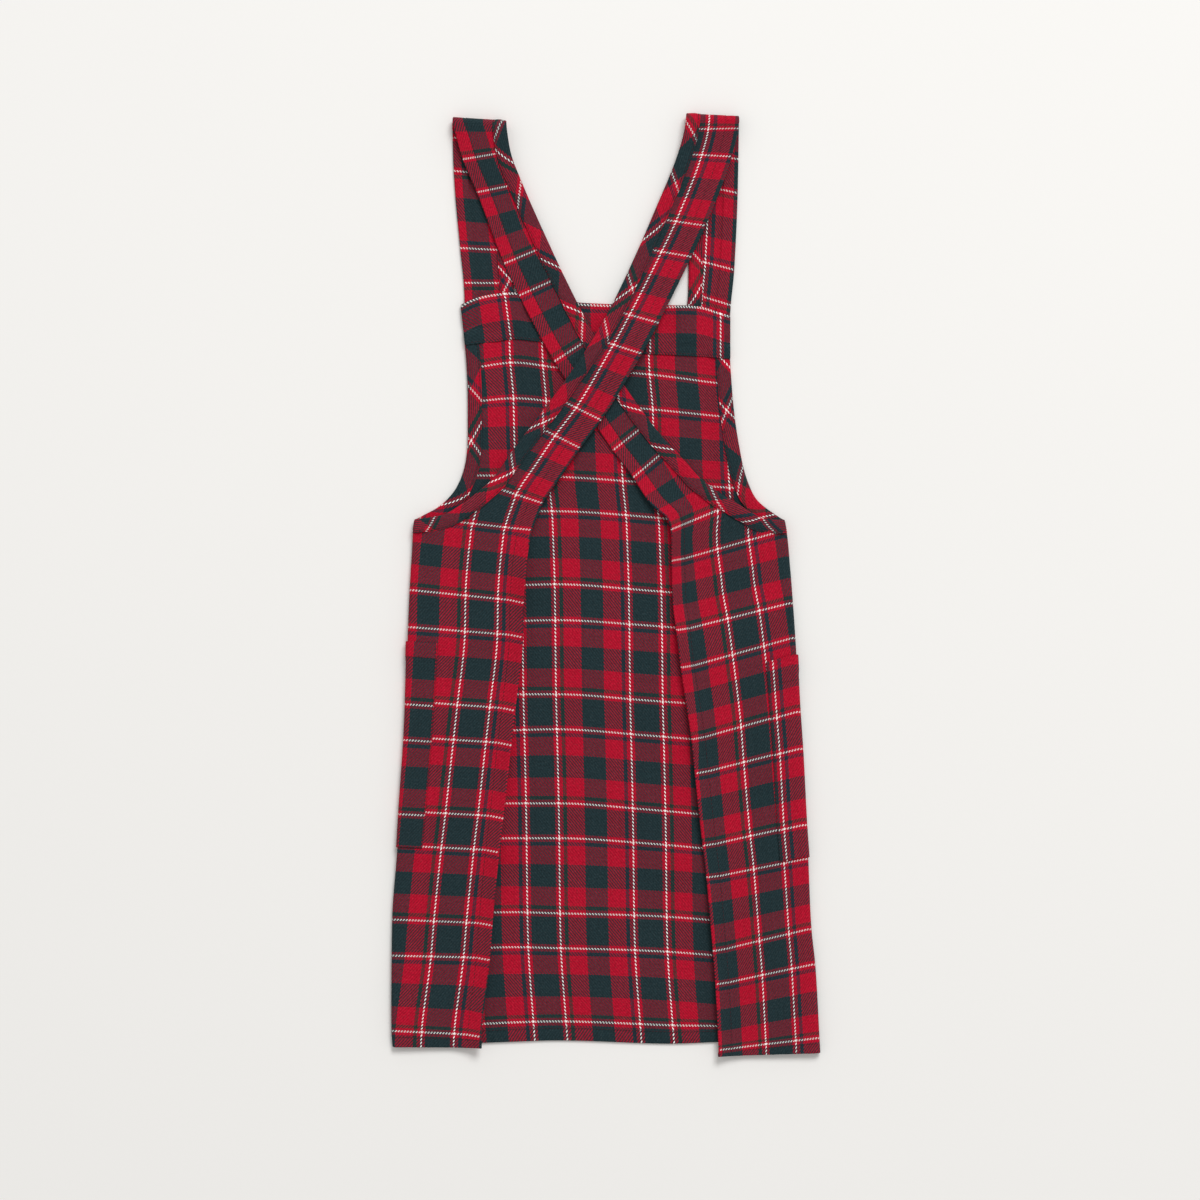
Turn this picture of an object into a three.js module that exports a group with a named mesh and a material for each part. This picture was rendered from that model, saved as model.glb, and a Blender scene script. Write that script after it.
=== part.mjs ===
// Cross-back kitchen apron of tartan twill, laid on a table with its outer face down.
// Its side wings are folded in over the front panel and its two straps are crossed.
// Millimetres. +X is right and +Y towards the shoulders as it lies, +Z is up, the table is z = 0.
// Left and right are as seen from above.

import * as THREE from 'three';

// Driving dimensions
const CLOTH = 1;
const GAP = 0.3;
const LAYER = CLOTH + GAP;
const HEM_THICKNESS = 2;
const SIDE_FOLD_RADIUS = 2.6;
const SHOULDER_RADIUS = 2;
const WING_SLOPE = 0.04;
const BINDING_WIDTH = 10.8;
const POCKET_ON_WING = 22;
const POCKET_UNDER_PANEL = 110;
const ARC_STEPS = 8;

// Where the columns of a piece lie, in millimetres from a bound edge or as a share of its width
const PANEL_EDGE_STRIP = 20;
const PANEL_EDGE_RAMP = 34;
const PANEL_MIDDLE_SHARES = [1 / 3, 2 / 3];
const WING_SHARES = [0, 0.25, 0.5, 0.75, 1];
const WING_PLANE_SHARE = 0.5;
const STRAP_SHARES = [0, 0.3, 0.55, 0.8, 1];
const POCKET_UNDER_SHARES = [1, 0.5, 0];
const POCKET_WING_SHARES = [0, 0.5, 1];

const CLOTH_COLOUR = 0x8f2334;
const PANEL_COLOUR = 0x7d2635;
const BINDING_COLOUR = 0x5c3038;
const POCKET_COLOUR = 0x99253a;
const CLOTH_ROUGHNESS = 0.92;

// Names the columns of a table of sections
function table(columns, ...rows) {
  const names = columns.split(' ');
  return rows.map((row) => Object.fromEntries(names.map((name, i) => [name, row[i]])));
}

// Skirt sections from the hem up to the armholes. foldX and foldY are on the outside of the side
// fold, edgeX and edgeY at the wing's free edge, and lift is how many layers lie under the panel.
// Armhole sections follow the wing's bound edge up to the strap. Strap sections run from there to
// the shoulder, z is the height of the strap's middle, and front sections come down to the bib.
const LEFT = {
  name: 'left',
  inward: 1,
  skirt: table('foldX foldY edgeX edgeY lift thick',
    [-159.5, -346, -93.4, -345.5, 0, HEM_THICKNESS],
    [-159.8, -335.5, -92.7, -335, 0, HEM_THICKNESS],
    [-160, -333, -92.5, -332.5, 0, CLOTH],
    [-159.3, -267, -86.2, -267, 0, CLOTH],
    [-158, -235, -83.5, -235, 0, CLOTH],
    [-155.6, -210, -80.8, -210, 1, CLOTH],
    [-152.8, -162, -75.4, -162, 1, CLOTH],
    [-149.2, -102, -69, -102, 1, CLOTH],
    [-147.6, -40, -62.2, -40, 1, CLOTH],
    [-146.8, -15, -61.5, -15, 0, CLOTH],
    [-145.6, 14, -59.5, 14, 0, CLOTH],
    [-143.6, 33, -56.8, 30, 1, CLOTH],
    [-143.6, 46.3, -55.5, 38.6, 1, CLOTH]),
  armhole: table('boundX boundY edgeX edgeY edgeZ',
    [-131.2, 48.1, -54.4, 42.4, 2],
    [-120, 50.6, -53.3, 46.1, 2.3],
    [-110.7, 56.3, -52.1, 49.9, 2.7],
    [-101.3, 62.5, -50.6, 53.6, 3.2],
    [-94.3, 68.8, -49.1, 57.4, 3.7],
    [-87.3, 75, -48, 60.4, 4.1],
    [-75.9, 88.8, -45.4, 65.6, 4.4]),
  strap: table('boundX boundY edgeX edgeY z',
    [-75.9, 88.8, -45.4, 65.6, 4.4],
    [-54.9, 115.9, -25.9, 92.6, 4.8],
    [-30, 154.2, 0.4, 130.1, 7.2],
    [-9.7, 182.9, 23.6, 167.6, 8.5],
    [6.8, 212.1, 41.6, 199.9, 7.8],
    [28.6, 259.4, 64.9, 247.9, 6.3],
    [40.6, 288, 77.6, 277.9, 5.8],
    [49.6, 309.1, 87.4, 301.9, 5.8],
    [55.7, 325.8, 94.9, 322.9, 5.8],
    [59.3, 340.8, 98.6, 338.6, 5.8],
    [60.2, 349.4, 99.4, 349.4, 5.8]),
  front: table('boundX edgeX y',
    [60.2, 99.4, 349.4],
    [60.9, 97.9, 318],
    [62.4, 96.4, 270],
    [63.2, 93.6, 221],
    [63.2, 93.2, 208.5],
    [63.2, 91.9, 184]),
};

const RIGHT = {
  name: 'right',
  inward: -1,
  skirt: table('foldX foldY edgeX edgeY lift thick',
    [161, -350, 85.1, -353, 0, HEM_THICKNESS],
    [160.7, -339.5, 84.8, -342.5, 0, HEM_THICKNESS],
    [160.5, -337, 84.6, -340, 0, CLOTH],
    [155.3, -267, 80.6, -267, 0, CLOTH],
    [153.6, -235, 77.2, -235, 0, CLOTH],
    [151.4, -210, 74.8, -210, 1, CLOTH],
    [148.3, -162, 69, -162, 1, CLOTH],
    [144.6, -102, 63, -102, 1, CLOTH],
    [141.2, -40, 54.4, -40, 1, CLOTH],
    [140.2, -15, 52.4, -15, 0, CLOTH],
    [138.2, 14, 50.1, 14, 0, CLOTH],
    [134.6, 32, 49.9, 30, 1, CLOTH],
    [134.6, 45.6, 49.5, 40.1, 1, CLOTH]),
  armhole: table('boundX boundY edgeX edgeY edgeZ',
    [122.5, 46.7, 49.1, 43.9, 2],
    [113.9, 49.4, 48, 47.6, 2.2],
    [105.4, 54.4, 45.8, 50.3, 2.5],
    [96.4, 60, 42.4, 53.3, 2.8],
    [85.8, 66.4, 38.3, 56.6, 3.2],
    [70.3, 78.5, 31.9, 64.1, 3.6],
    [53.8, 96.8, 25.1, 74.3, 3.9]),
  strap: table('boundX boundY edgeX edgeY z',
    [53.8, 96.8, 25.1, 74.3, 3.9],
    [35.7, 120, 7.7, 98.3, 3.2],
    [18.8, 142.8, -10.1, 124.5, 3.2],
    [0.8, 169.2, -28.1, 151.9, 4.4],
    [-14.2, 197, -45.4, 178.9, 4.8],
    [-22.6, 212.9, -55.9, 198.4, 5.7],
    [-36.1, 237.7, -70.9, 227.6, 5.8],
    [-54.1, 279.7, -89.6, 270.4, 5.8],
    [-64.6, 301.6, -100.1, 296.6, 5.8],
    [-70.7, 318.3, -108.4, 318.4, 5.8],
    [-74.1, 337, -113.6, 335.6, 5.8],
    [-74.4, 346.4, -114.4, 346.4, 5.8]),
  front: table('boundX edgeX y',
    [-74.4, -114.4, 346.4],
    [-75.8, -114, 317],
    [-75.2, -109.9, 270],
    [-74.5, -106.2, 232],
    [-74.4, -105.4, 220],
    [-73.7, -103.9, 188]),
};

// Bib sections above the armholes, both ends on the cloth's edge. The edges ride one layer up as
// far as the binding under them goes.
const BIB = table('leftX leftY rightX rightY lift',
  [-131.8, 51, 122.8, 51, 1],
  [-116.4, 62.5, 112.6, 61, 1],
  [-109.5, 72.5, 107.2, 70.4, 1],
  [-105.7, 81, 103.4, 79.6, 1],
  [-101.8, 97, 99.6, 97, 1],
  [-101.1, 116, 97.3, 116, 1],
  [-101.8, 138.4, 94.3, 138.4, 1],
  [-102.7, 161, 92.1, 155, 1],
  [-104.1, 176, 91.3, 168, 1],
  [-105.5, 186, 91.6, 178, 0]);

// Sections of the facing along the bib's top edge. layers counts what lies under it: the bib, and
// the strap ends where they are.
const FACING = table('x lowY topY layers',
  [-107.9, 179.6, 212.2, 2],
  [-88, 181.5, 216, 2],
  [-68, 184.1, 218.6, 2],
  [-57, 183, 217.3, 1],
  [-14.6, 177.4, 210.4, 1],
  [32.6, 172.9, 208.6, 1],
  [49, 172.3, 207.8, 1],
  [60, 171.8, 206.9, 2],
  [81, 170.3, 205.1, 2],
  [92.6, 169.2, 203.6, 2]);

// How far the hem of the front panel bows up between the side folds, and the sections that bow
const HEM_BOW = 5;
const HEM_ROWS = 3;

// Rows of the pockets: their upper edge, two skirt sections between and their lower edge
const POCKETS = [
  { side: LEFT, rows: [-196.5, -162, -102, -43] },
  { side: RIGHT, rows: [-206, -162, -102, -53] },
];

// Height of the middle of a cloth that lies on so many layers
function layerHeight(layers, thick = CLOTH) {
  return layers * LAYER + thick / 2;
}

function mix(a, b, share) {
  return a + (b - a) * share;
}

// Value of one column between the two sections around a place on another column
function between(rows, key, place, column) {
  const last = rows.length - 1;
  const found = rows.findIndex((row) => row[key] >= place);
  const upper = Math.min(Math.max(found < 0 ? last : found, 1), last);
  const a = rows[upper - 1];
  const b = rows[upper];
  return mix(a[column], b[column], (place - a[key]) / (b[key] - a[key]));
}

// A sheet of cloth: patches of quads on its middle surface that share their seams, thickened to
// both sides along the normals and closed by walls along its free edges
class Sheet {
  constructor() {
    this.points = [];
    this.thickness = [];
    this.quads = [];
    this.known = new Map();
  }

  vertex(point, thick) {
    const key = point.toArray().map((value) => value.toFixed(3)).join(' ');
    if (!this.known.has(key)) {
      this.known.set(key, this.points.length);
      this.points.push(point);
      this.thickness.push(thick);
    }
    return this.known.get(key);
  }

  // rows is a list of sections, each a list of points, with one thickness for each section
  patch(rows, thicknesses) {
    const ids = rows.map((row, j) => row.map((point) => this.vertex(point, thicknesses[j])));
    for (let j = 0; j + 1 < ids.length; j += 1) {
      for (let i = 0; i + 1 < ids[j].length; i += 1) {
        this.quads.push([ids[j][i], ids[j][i + 1], ids[j + 1][i + 1], ids[j + 1][i]]);
      }
    }
  }

  normals() {
    const sums = this.points.map(() => new THREE.Vector3());
    for (const quad of this.quads) {
      const [a, b, c, d] = quad.map((id) => this.points[id]);
      const diagonal = c.clone().sub(a);
      const across = d.clone().sub(b);
      const normal = diagonal.cross(across).normalize();
      quad.forEach((id) => sums[id].add(normal));
    }
    return sums.map((sum) => sum.normalize());
  }

  // Points of the sheet with its normal at each, for what follows them
  stops(points) {
    const normals = this.normals();
    return points.map((point) => ({ point, normal: normals[this.vertex(point, CLOTH)] }));
  }

  geometry() {
    const normals = this.normals();
    const count = this.points.length;
    const face = (turn) => this.points.map((point, id) => (
      point.clone().addScaledVector(normals[id], turn * this.thickness[id] / 2)));
    const triangles = [];
    const quadFace = (a, b, c, d) => triangles.push(a, b, c, a, c, d);
    const open = new Set();
    for (const [a, b, c, d] of this.quads) {
      quadFace(a, b, c, d);
      triangles.push(a + count, c + count, b + count, a + count, d + count, c + count);
      [[a, b], [b, c], [c, d], [d, a]].forEach(([from, to]) => {
        if (!open.delete(`${to} ${from}`)) open.add(`${from} ${to}`);
      });
    }
    for (const edge of open) {
      const [from, to] = edge.split(' ').map(Number);
      quadFace(to, from, from + count, to + count);
    }
    return solid([...face(1), ...face(-1)], triangles);
  }
}

// Makes a closed geometry from points and triangles, with its faces pointing out
function solid(points, triangles) {
  let volume = 0;
  for (let t = 0; t < triangles.length; t += 3) {
    const [a, b, c] = [0, 1, 2].map((k) => points[triangles[t + k]]);
    volume += a.dot(b.clone().cross(c));
  }
  const index = volume > 0 ? triangles : [...triangles].reverse();
  const geometry = new THREE.BufferGeometry().setFromPoints(points);
  geometry.setIndex(index);
  geometry.computeVertexNormals();
  return geometry;
}

// Middle of the side fold's arc at a skirt section
function foldCentre(side, row) {
  return new THREE.Vector3(
    row.foldX + side.inward * (row.thick / 2 + SIDE_FOLD_RADIUS),
    row.foldY,
    layerHeight(row.lift, row.thick) + SIDE_FOLD_RADIUS);
}

// Points round the outside of a side fold, from the panel under it up to the wing
function foldArc(side, centre, radius) {
  return Array.from({ length: ARC_STEPS + 1 }, (_, step) => {
    const angle = Math.PI * (step / ARC_STEPS - 0.5);
    return new THREE.Vector3(
      centre.x - side.inward * radius * Math.cos(angle),
      centre.y,
      centre.z + radius * Math.sin(angle));
  });
}

// Points across a wing from the fold's top or the armhole's edge to the free edge
function wingAcross(outer, edge, foldTop) {
  const plane = (x) => foldTop.z - WING_SLOPE * Math.abs(x - foldTop.x);
  const middleX = mix(outer.x, edge.x, WING_PLANE_SHARE);
  return WING_SHARES.map((share) => {
    const point = outer.clone().lerp(edge, share);
    const slide = Math.max(share - WING_PLANE_SHARE, 0) / (1 - WING_PLANE_SHARE);
    point.z = slide > 0 ? mix(plane(middleX), edge.z, slide) : plane(point.x);
    return point;
  });
}

// A wing with its side fold, from the seam under the panel's edge to the start of the strap
function wingSheet(side) {
  const sheet = new Sheet();
  const lower = side.skirt.map((row, j) => {
    const arc = foldArc(side, foldCentre(side, row), SIDE_FOLD_RADIUS);
    const top = arc[ARC_STEPS];
    const panelTop = row.lift * LAYER + (j < HEM_ROWS ? HEM_THICKNESS : CLOTH);
    const edge = new THREE.Vector3(row.edgeX, row.edgeY, panelTop + GAP + row.thick / 2);
    return [...arc, ...wingAcross(top, edge, top).slice(1)];
  });
  sheet.patch(lower, side.skirt.map((row) => row.thick));
  const base = lower[lower.length - 1].slice(ARC_STEPS);
  const upper = side.armhole.map((row) => {
    const bound = new THREE.Vector3(row.boundX, row.boundY, 0);
    const edge = new THREE.Vector3(row.edgeX, row.edgeY, row.edgeZ);
    return wingAcross(bound, edge, base[0]);
  });
  const root = side.strap[0];
  upper[upper.length - 1].forEach((point) => { point.z = root.z; });
  sheet.patch([base, ...upper], [base, ...upper].map(() => CLOTH));
  const centre = foldCentre(side, side.skirt[side.skirt.length - 1]);
  const arcEdge = lower[lower.length - 1].slice(0, ARC_STEPS + 1).reverse();
  sheet.boundEdge = [
    ...sheet.stops(upper.slice(0, -1).map((row) => row[0]).reverse()),
    ...arcEdge.map((point) => ({ point, normal: point.clone().sub(centre).normalize() })),
  ];
  return sheet;
}

// Points across a strap, from its bound edge to its hemmed one
function strapAcross(bound, edge) {
  return STRAP_SHARES.map((share) => bound.clone().lerp(edge, share));
}

// A strap from the wing over the crossing to the shoulder, round it and down to the bib
function strapSheet(side) {
  const back = side.strap.map((row) => strapAcross(
    new THREE.Vector3(row.boundX, row.boundY, row.z),
    new THREE.Vector3(row.edgeX, row.edgeY, row.z)));
  // The strap starts one gap away from the wing that it runs on from
  back[0].forEach((point, i) => {
    point.addScaledVector(back[1][i].clone().sub(point).normalize(), GAP);
  });
  const frontZ = layerHeight(1);
  const front = side.front.map((row) => strapAcross(
    new THREE.Vector3(row.boundX, row.y, frontZ),
    new THREE.Vector3(row.edgeX, row.y, frontZ)));
  const turn = Array.from({ length: ARC_STEPS - 1 }, (_, step) => {
    const angle = Math.PI * (0.5 - (step + 1) / ARC_STEPS);
    return front[0].map((point) => new THREE.Vector3(
      point.x,
      point.y + SHOULDER_RADIUS * Math.cos(angle),
      frontZ + SHOULDER_RADIUS * (1 + Math.sin(angle))));
  });
  const rows = [...back, ...turn, ...front];
  const sheet = new Sheet();
  sheet.patch(rows, rows.map(() => CLOTH));
  sheet.boundEdge = sheet.stops(rows.slice(0, -1).map((row) => row[0]).reverse());
  return sheet;
}

// Points across the front panel between two ends that ride at one height and a middle at another
function panelAcross(left, right, edgeZ, middleZ, bow) {
  const width = right.x - left.x;
  const near = [0, PANEL_EDGE_STRIP, PANEL_EDGE_RAMP].map((distance) => distance / width);
  const middle = PANEL_MIDDLE_SHARES.map((share) => mix(near[2], 1 - near[2], share));
  const shares = [...near, ...middle, ...near.map((share) => 1 - share).reverse()];
  return shares.map((share) => {
    const point = left.clone().lerp(right, share);
    const atEdge = share <= near[1] || share >= 1 - near[1];
    point.y += bow * 4 * share * (1 - share);
    point.z = atEdge ? edgeZ : middleZ;
    return point;
  });
}

// Layers under the middle of the front panel: the pockets reach under it, the binding doesn't
function panelMiddleLift(row, index, rows) {
  return index >= rows.length - 2 ? 0 : row.lift;
}

// The front panel, skirt and bib in one
function panelSheet() {
  const skirt = LEFT.skirt.map((leftRow, j) => {
    const [left, right] = [LEFT, RIGHT].map((side) => {
      const end = foldCentre(side, side.skirt[j]);
      end.x += side.inward * GAP;
      return end;
    });
    const edgeZ = layerHeight(leftRow.lift, leftRow.thick);
    const middleZ = layerHeight(panelMiddleLift(leftRow, j, LEFT.skirt), leftRow.thick);
    return panelAcross(left, right, edgeZ, middleZ, j < HEM_ROWS ? HEM_BOW : 0);
  });
  const bib = BIB.map((row) => panelAcross(
    new THREE.Vector3(row.leftX, row.leftY, 0),
    new THREE.Vector3(row.rightX, row.rightY, 0),
    layerHeight(row.lift), layerHeight(0), 0));
  const first = FACING[0];
  const last = FACING[FACING.length - 1];
  const top = panelAcross(
    new THREE.Vector3(first.x, first.topY, 0),
    new THREE.Vector3(last.x, last.topY, 0),
    layerHeight(0), layerHeight(0), 0);
  top.forEach((point) => { point.y = between(FACING, 'x', point.x, 'topY'); });
  const rows = [...skirt, ...bib, top];
  const sheet = new Sheet();
  sheet.patch(rows, [...LEFT.skirt.map((row) => row.thick), ...bib.map(() => CLOTH), CLOTH]);
  const bound = bib.filter((_, j) => BIB[j].lift > 0);
  const level = (point) => ({ point, normal: new THREE.Vector3(0, 0, 1) });
  sheet.boundEdges = {
    left: bound.map((row) => level(row[0])),
    right: bound.map((row) => level(row[row.length - 1])),
  };
  return sheet;
}

// The strip that faces the bib's top edge
function facingSheet() {
  const row = (key) => FACING.map((section) => (
    new THREE.Vector3(section.x, section[key], layerHeight(section.layers))));
  const sheet = new Sheet();
  sheet.patch([row('lowY'), row('topY')], [CLOTH, CLOTH]);
  return sheet;
}

// A patch pocket: under the panel, round the side fold and onto the wing, one layer outside them
function pocketSheet({ side, rows }) {
  const sections = rows.map((y) => {
    const row = { foldY: y, thick: CLOTH };
    for (const column of ['foldX', 'lift']) {
      row[column] = between(side.skirt, 'foldY', y, column);
    }
    const centre = foldCentre(side, row);
    const arc = foldArc(side, centre, SIDE_FOLD_RADIUS + LAYER);
    const under = POCKET_UNDER_SHARES.map((share) => arc[0].clone().add(
      new THREE.Vector3(side.inward * POCKET_UNDER_PANEL * share, 0, 0)));
    const over = POCKET_WING_SHARES.map((share) => arc[ARC_STEPS].clone().add(
      new THREE.Vector3(
        side.inward * POCKET_ON_WING * share, 0, -WING_SLOPE * POCKET_ON_WING * share)));
    return [...under.slice(0, -1), ...arc, ...over.slice(1)];
  });
  const sheet = new Sheet();
  sheet.patch(sections, sections.map(() => CLOTH));
  return sheet;
}

// Section of the binding as a U: out points away from the cloth, up along its normal
function bindingSection() {
  const legInside = CLOTH / 2 + GAP;
  const legOutside = legInside + CLOTH;
  const legEnd = LAYER - BINDING_WIDTH;
  return [
    [legEnd, legInside], [GAP, legInside], [GAP, -legInside], [legEnd, -legInside],
    [legEnd, -legOutside], [LAYER, -legOutside], [LAYER, legOutside], [legEnd, legOutside],
  ].map(([out, up]) => new THREE.Vector2(out, up));
}

// Sweeps the binding along a bound edge, a list of points with the cloth's normal at each
function bindingGeometry(stops) {
  const section = bindingSection();
  const count = section.length;
  const points = [];
  let lastOut = null;
  let lastUp = null;
  stops.forEach(({ point, normal }, j) => {
    const before = stops[Math.max(j - 1, 0)].point;
    const after = stops[Math.min(j + 1, stops.length - 1)].point;
    const along = after.clone().sub(before).normalize();
    const up = normal.clone().addScaledVector(along, -normal.dot(along)).normalize();
    if (lastUp && up.dot(lastUp) < 0) up.negate();
    const out = along.clone().cross(up);
    if (lastOut && out.dot(lastOut) < 0) out.negate();
    section.forEach(({ x, y }) => {
      points.push(point.clone().addScaledVector(out, x).addScaledVector(up, y));
    });
    lastOut = out;
    lastUp = up;
  });
  const triangles = [];
  for (let j = 0; j + 1 < stops.length; j += 1) {
    for (let i = 0; i < count; i += 1) {
      const a = j * count + i;
      const b = j * count + (i + 1) % count;
      triangles.push(a, b, b + count, a, b + count, a + count);
    }
  }
  const cap = THREE.ShapeUtils.triangulateShape(section, []);
  const end = (stops.length - 1) * count;
  for (const [a, b, c] of cap) {
    triangles.push(a, c, b);
    triangles.push(end + a, end + b, end + c);
  }
  return solid(points, triangles);
}

// A named piece of cloth
function cloth(name, geometry, colour) {
  const material = new THREE.MeshStandardMaterial({
    color: colour, roughness: CLOTH_ROUGHNESS, metalness: 0,
  });
  const mesh = new THREE.Mesh(geometry, material);
  mesh.name = name;
  return mesh;
}

const apron = new THREE.Group();
apron.name = 'apron';
const panel = panelSheet();
apron.add(cloth('front_panel', panel.geometry(), PANEL_COLOUR));
apron.add(cloth('bib_facing', facingSheet().geometry(), PANEL_COLOUR));
for (const side of [LEFT, RIGHT]) {
  const wing = wingSheet(side);
  const strap = strapSheet(side);
  // The binding runs down the strap, along the armhole, round the side fold and up the bib
  const stops = [...strap.boundEdge, ...wing.boundEdge, ...panel.boundEdges[side.name]];
  apron.add(cloth(`${side.name}_wing`, wing.geometry(), CLOTH_COLOUR));
  apron.add(cloth(`${side.name}_strap`, strap.geometry(), CLOTH_COLOUR));
  apron.add(cloth(`${side.name}_binding`, bindingGeometry(stops), BINDING_COLOUR));
}
for (const pocket of POCKETS) {
  apron.add(cloth(`${pocket.side.name}_pocket`, pocketSheet(pocket).geometry(), POCKET_COLOUR));
}

// The origin is on the table under the middle of the apron's outline
const outline = new THREE.Box3().setFromObject(apron);
const middle = outline.getCenter(new THREE.Vector3());
apron.position.set(-middle.x, -middle.y, -outline.min.z);

export default apron;
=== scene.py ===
"""Kitchen apron of tartan twill, laid flat with its wings folded in and its straps crossed.

The body is one cut cloth: front panel, side folds, wings and straps. A facing, two bias bindings,
two pockets and the stitching go on it. Tables and shape functions are in millimetres in the part's
frame, and cloth coordinates (u across, v up from the hem) run along the yarns.
"""

import math
from functools import partial
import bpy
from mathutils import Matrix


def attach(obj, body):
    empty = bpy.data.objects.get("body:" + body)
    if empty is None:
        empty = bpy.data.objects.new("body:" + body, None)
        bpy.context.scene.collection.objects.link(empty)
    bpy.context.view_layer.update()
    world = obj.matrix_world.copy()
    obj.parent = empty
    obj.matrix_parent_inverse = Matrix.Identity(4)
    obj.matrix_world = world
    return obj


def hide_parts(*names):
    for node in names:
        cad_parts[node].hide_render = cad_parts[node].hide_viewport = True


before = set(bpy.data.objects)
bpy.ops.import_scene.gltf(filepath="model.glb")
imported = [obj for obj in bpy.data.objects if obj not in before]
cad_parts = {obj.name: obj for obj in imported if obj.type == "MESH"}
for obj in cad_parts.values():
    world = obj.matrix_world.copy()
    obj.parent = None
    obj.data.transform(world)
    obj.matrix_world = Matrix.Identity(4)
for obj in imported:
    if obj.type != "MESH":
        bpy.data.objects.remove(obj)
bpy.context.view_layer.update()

from types import SimpleNamespace

import bpy
import numpy as np
from bpy.props import FloatProperty, FloatVectorProperty, PointerProperty

bl_info = {
    "name": "Tartan kitchen apron",
    "version": (1, 0, 0),
    "blender": (4, 5, 0),
    "location": "3D View > Sidebar > Apron",
    "description": "Makes a laid cross-back kitchen apron with its bindings, pockets and stitching",
    "category": "Add Mesh",
}

MM = 0.001
BODY = "root"


def table(columns, *rows):
    """Columns of a table of sections, by name."""
    return dict(zip(columns.split(), np.array(rows, float).T))


# Skirt sections follow the weft from the hem, row 0, up to the armhole's corner. fold is on the
# outside of the side fold and edge at the wing's free edge.
LEFT_SKIRT = table(
    "v foldX foldY edgeX edgeY",
    (0, -159.9, -346.2, -94.2, -346.6),
    (16.5, -160.6, -334.2, -93.9, -337.4),
    (72.1, -160.6, -278, -87.5, -279.9),
    (98.6, -160.4, -251, -85.6, -254),
    (154.2, -156.2, -195.5, -80.4, -199.2),
    (180.7, -154.6, -169.6, -77.4, -173.7),
    (236.3, -151.2, -114.1, -71.4, -119),
    (262.8, -150.1, -87.3, -68.4, -93.1),
    (318.4, -148.2, -32, -62.6, -38.3),
    (344.9, -147.1, -4.2, -62.2, -12.5),
    (372, -145.6, 22.8, -60.5, 12.3),
    (396.7, -144.1, 47.5, -57.1, 37),
)
RIGHT_SKIRT = table(
    "v foldX foldY edgeX edgeY",
    (0, 160.4, -350.7, 84.6, -353),
    (16.5, 159.6, -339.5, 84.6, -348.3),
    (72.1, 156.6, -284.7, 82.4, -300.1),
    (98.6, 154, -258.2, 80.5, -275.2),
    (154.2, 151.4, -205.6, 75.6, -220.2),
    (180.7, 149.5, -179.7, 72.8, -196.2),
    (236.3, 146.9, -122.7, 67, -142.2),
    (262.8, 145, -95, 64.4, -116.7),
    (318.4, 141.6, -40.2, 56.5, -63.1),
    (344.9, 139.8, -14, 53.1, -35),
    (372, 137.9, 12.3, 50.1, -9.5),
    (407.5, 134.1, 47.1, 49.4, 23.5),
)

# Sections of a wing's upper end and its strap, from the armhole's corner to the shoulder. bound is
# the edge with the binding.
LEFT_STRAP = table(
    "v boundX boundY boundZ edgeX edgeY edgeZ",
    (396.7, -144.1, 47.5, 6.45, -57.1, 37, 2.8),
    (400.5, -131.7, 49.2, 6.1, -56, 40.8, 2.8),
    (403.5, -120.9, 51.6, 5.9, -55.1, 43, 2.8),
    (409.6, -111.9, 57.3, 5.6, -53.4, 47.5, 2.9),
    (416.3, -102.6, 63.4, 5.3, -51.1, 52.8, 3.1),
    (422.6, -95.7, 69.6, 5.1, -49.2, 57.6, 3.3),
    (427, -88.6, 74.9, 4.9, -47.7, 61, 3.5),
    (455, -71.4, 98.2, 4.4, -33.5, 82, 4),
    (482.6, -54.9, 120.3, 4.6, -19.6, 102.3, 4.6),
    (509.1, -39.1, 140.9, 5.8, -3.9, 123.3, 6),
    (564.7, -9.5, 184.4, 7.7, 26.5, 172.8, 7.6),
    (591.2, 2.9, 206.2, 7.1, 38.9, 196, 6.8),
    (646.8, 24.8, 252.4, 5.7, 63.3, 245.5, 5.5),
    (673.3, 34.4, 274.8, 5.2, 74.1, 268.8, 5.2),
    (728.9, 53.9, 322.6, 6.4, 93.6, 320.5, 6.4),
    (755.4, 58.8, 340.6, 8.6, 98.5, 341.4, 8.6),
    (764, 59.9, 348.3, 9.3, 99.1, 346.4, 9.3),
)
RIGHT_STRAP = table(
    "v boundX boundY boundZ edgeX edgeY edgeZ",
    (407.5, 134.1, 47.1, 6.45, 49.4, 23.5, 2.8),
    (411.3, 122.1, 47.9, 6.1, 49.4, 27.3, 2.8),
    (415.3, 113.7, 50.5, 5.9, 49.4, 30.7, 2.8),
    (421, 105.9, 55.3, 5.6, 49.4, 35.9, 2.9),
    (427, 96.6, 61.4, 5.2, 49, 41.5, 2.9),
    (436, 86.1, 67.3, 4.8, 46, 49.8, 3),
    (444, 78.4, 73.3, 4.5, 40.4, 54.7, 3.1),
    (453, 70.7, 79.3, 4.2, 34.4, 59.9, 3.2),
    (474, 54.3, 97.5, 3.7, 24.6, 73.8, 3.3),
    (482.6, 47.9, 103.8, 3.5, 20.5, 80.5, 3.3),
    (509.1, 32.5, 122.5, 3.2, 5.1, 100.8, 3.2),
    (564.7, 4.4, 163, 3.4, -22.6, 142.8, 3.4),
    (591.2, -9.1, 186.7, 4.6, -38.7, 167.5, 4.4),
    (646.8, -31.9, 231.6, 4.9, -65, 216.7, 4.9),
    (673.3, -42.7, 254.8, 4.7, -76.2, 240.7, 4.7),
    (728.9, -63, 300.6, 5.6, -96.5, 293.9, 5.6),
    (755.4, -71.8, 324.3, 7.6, -107, 318.6, 7.6),
    (781, -74.7, 343, 9.3, -114.4, 345.6, 9.3),
)

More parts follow.
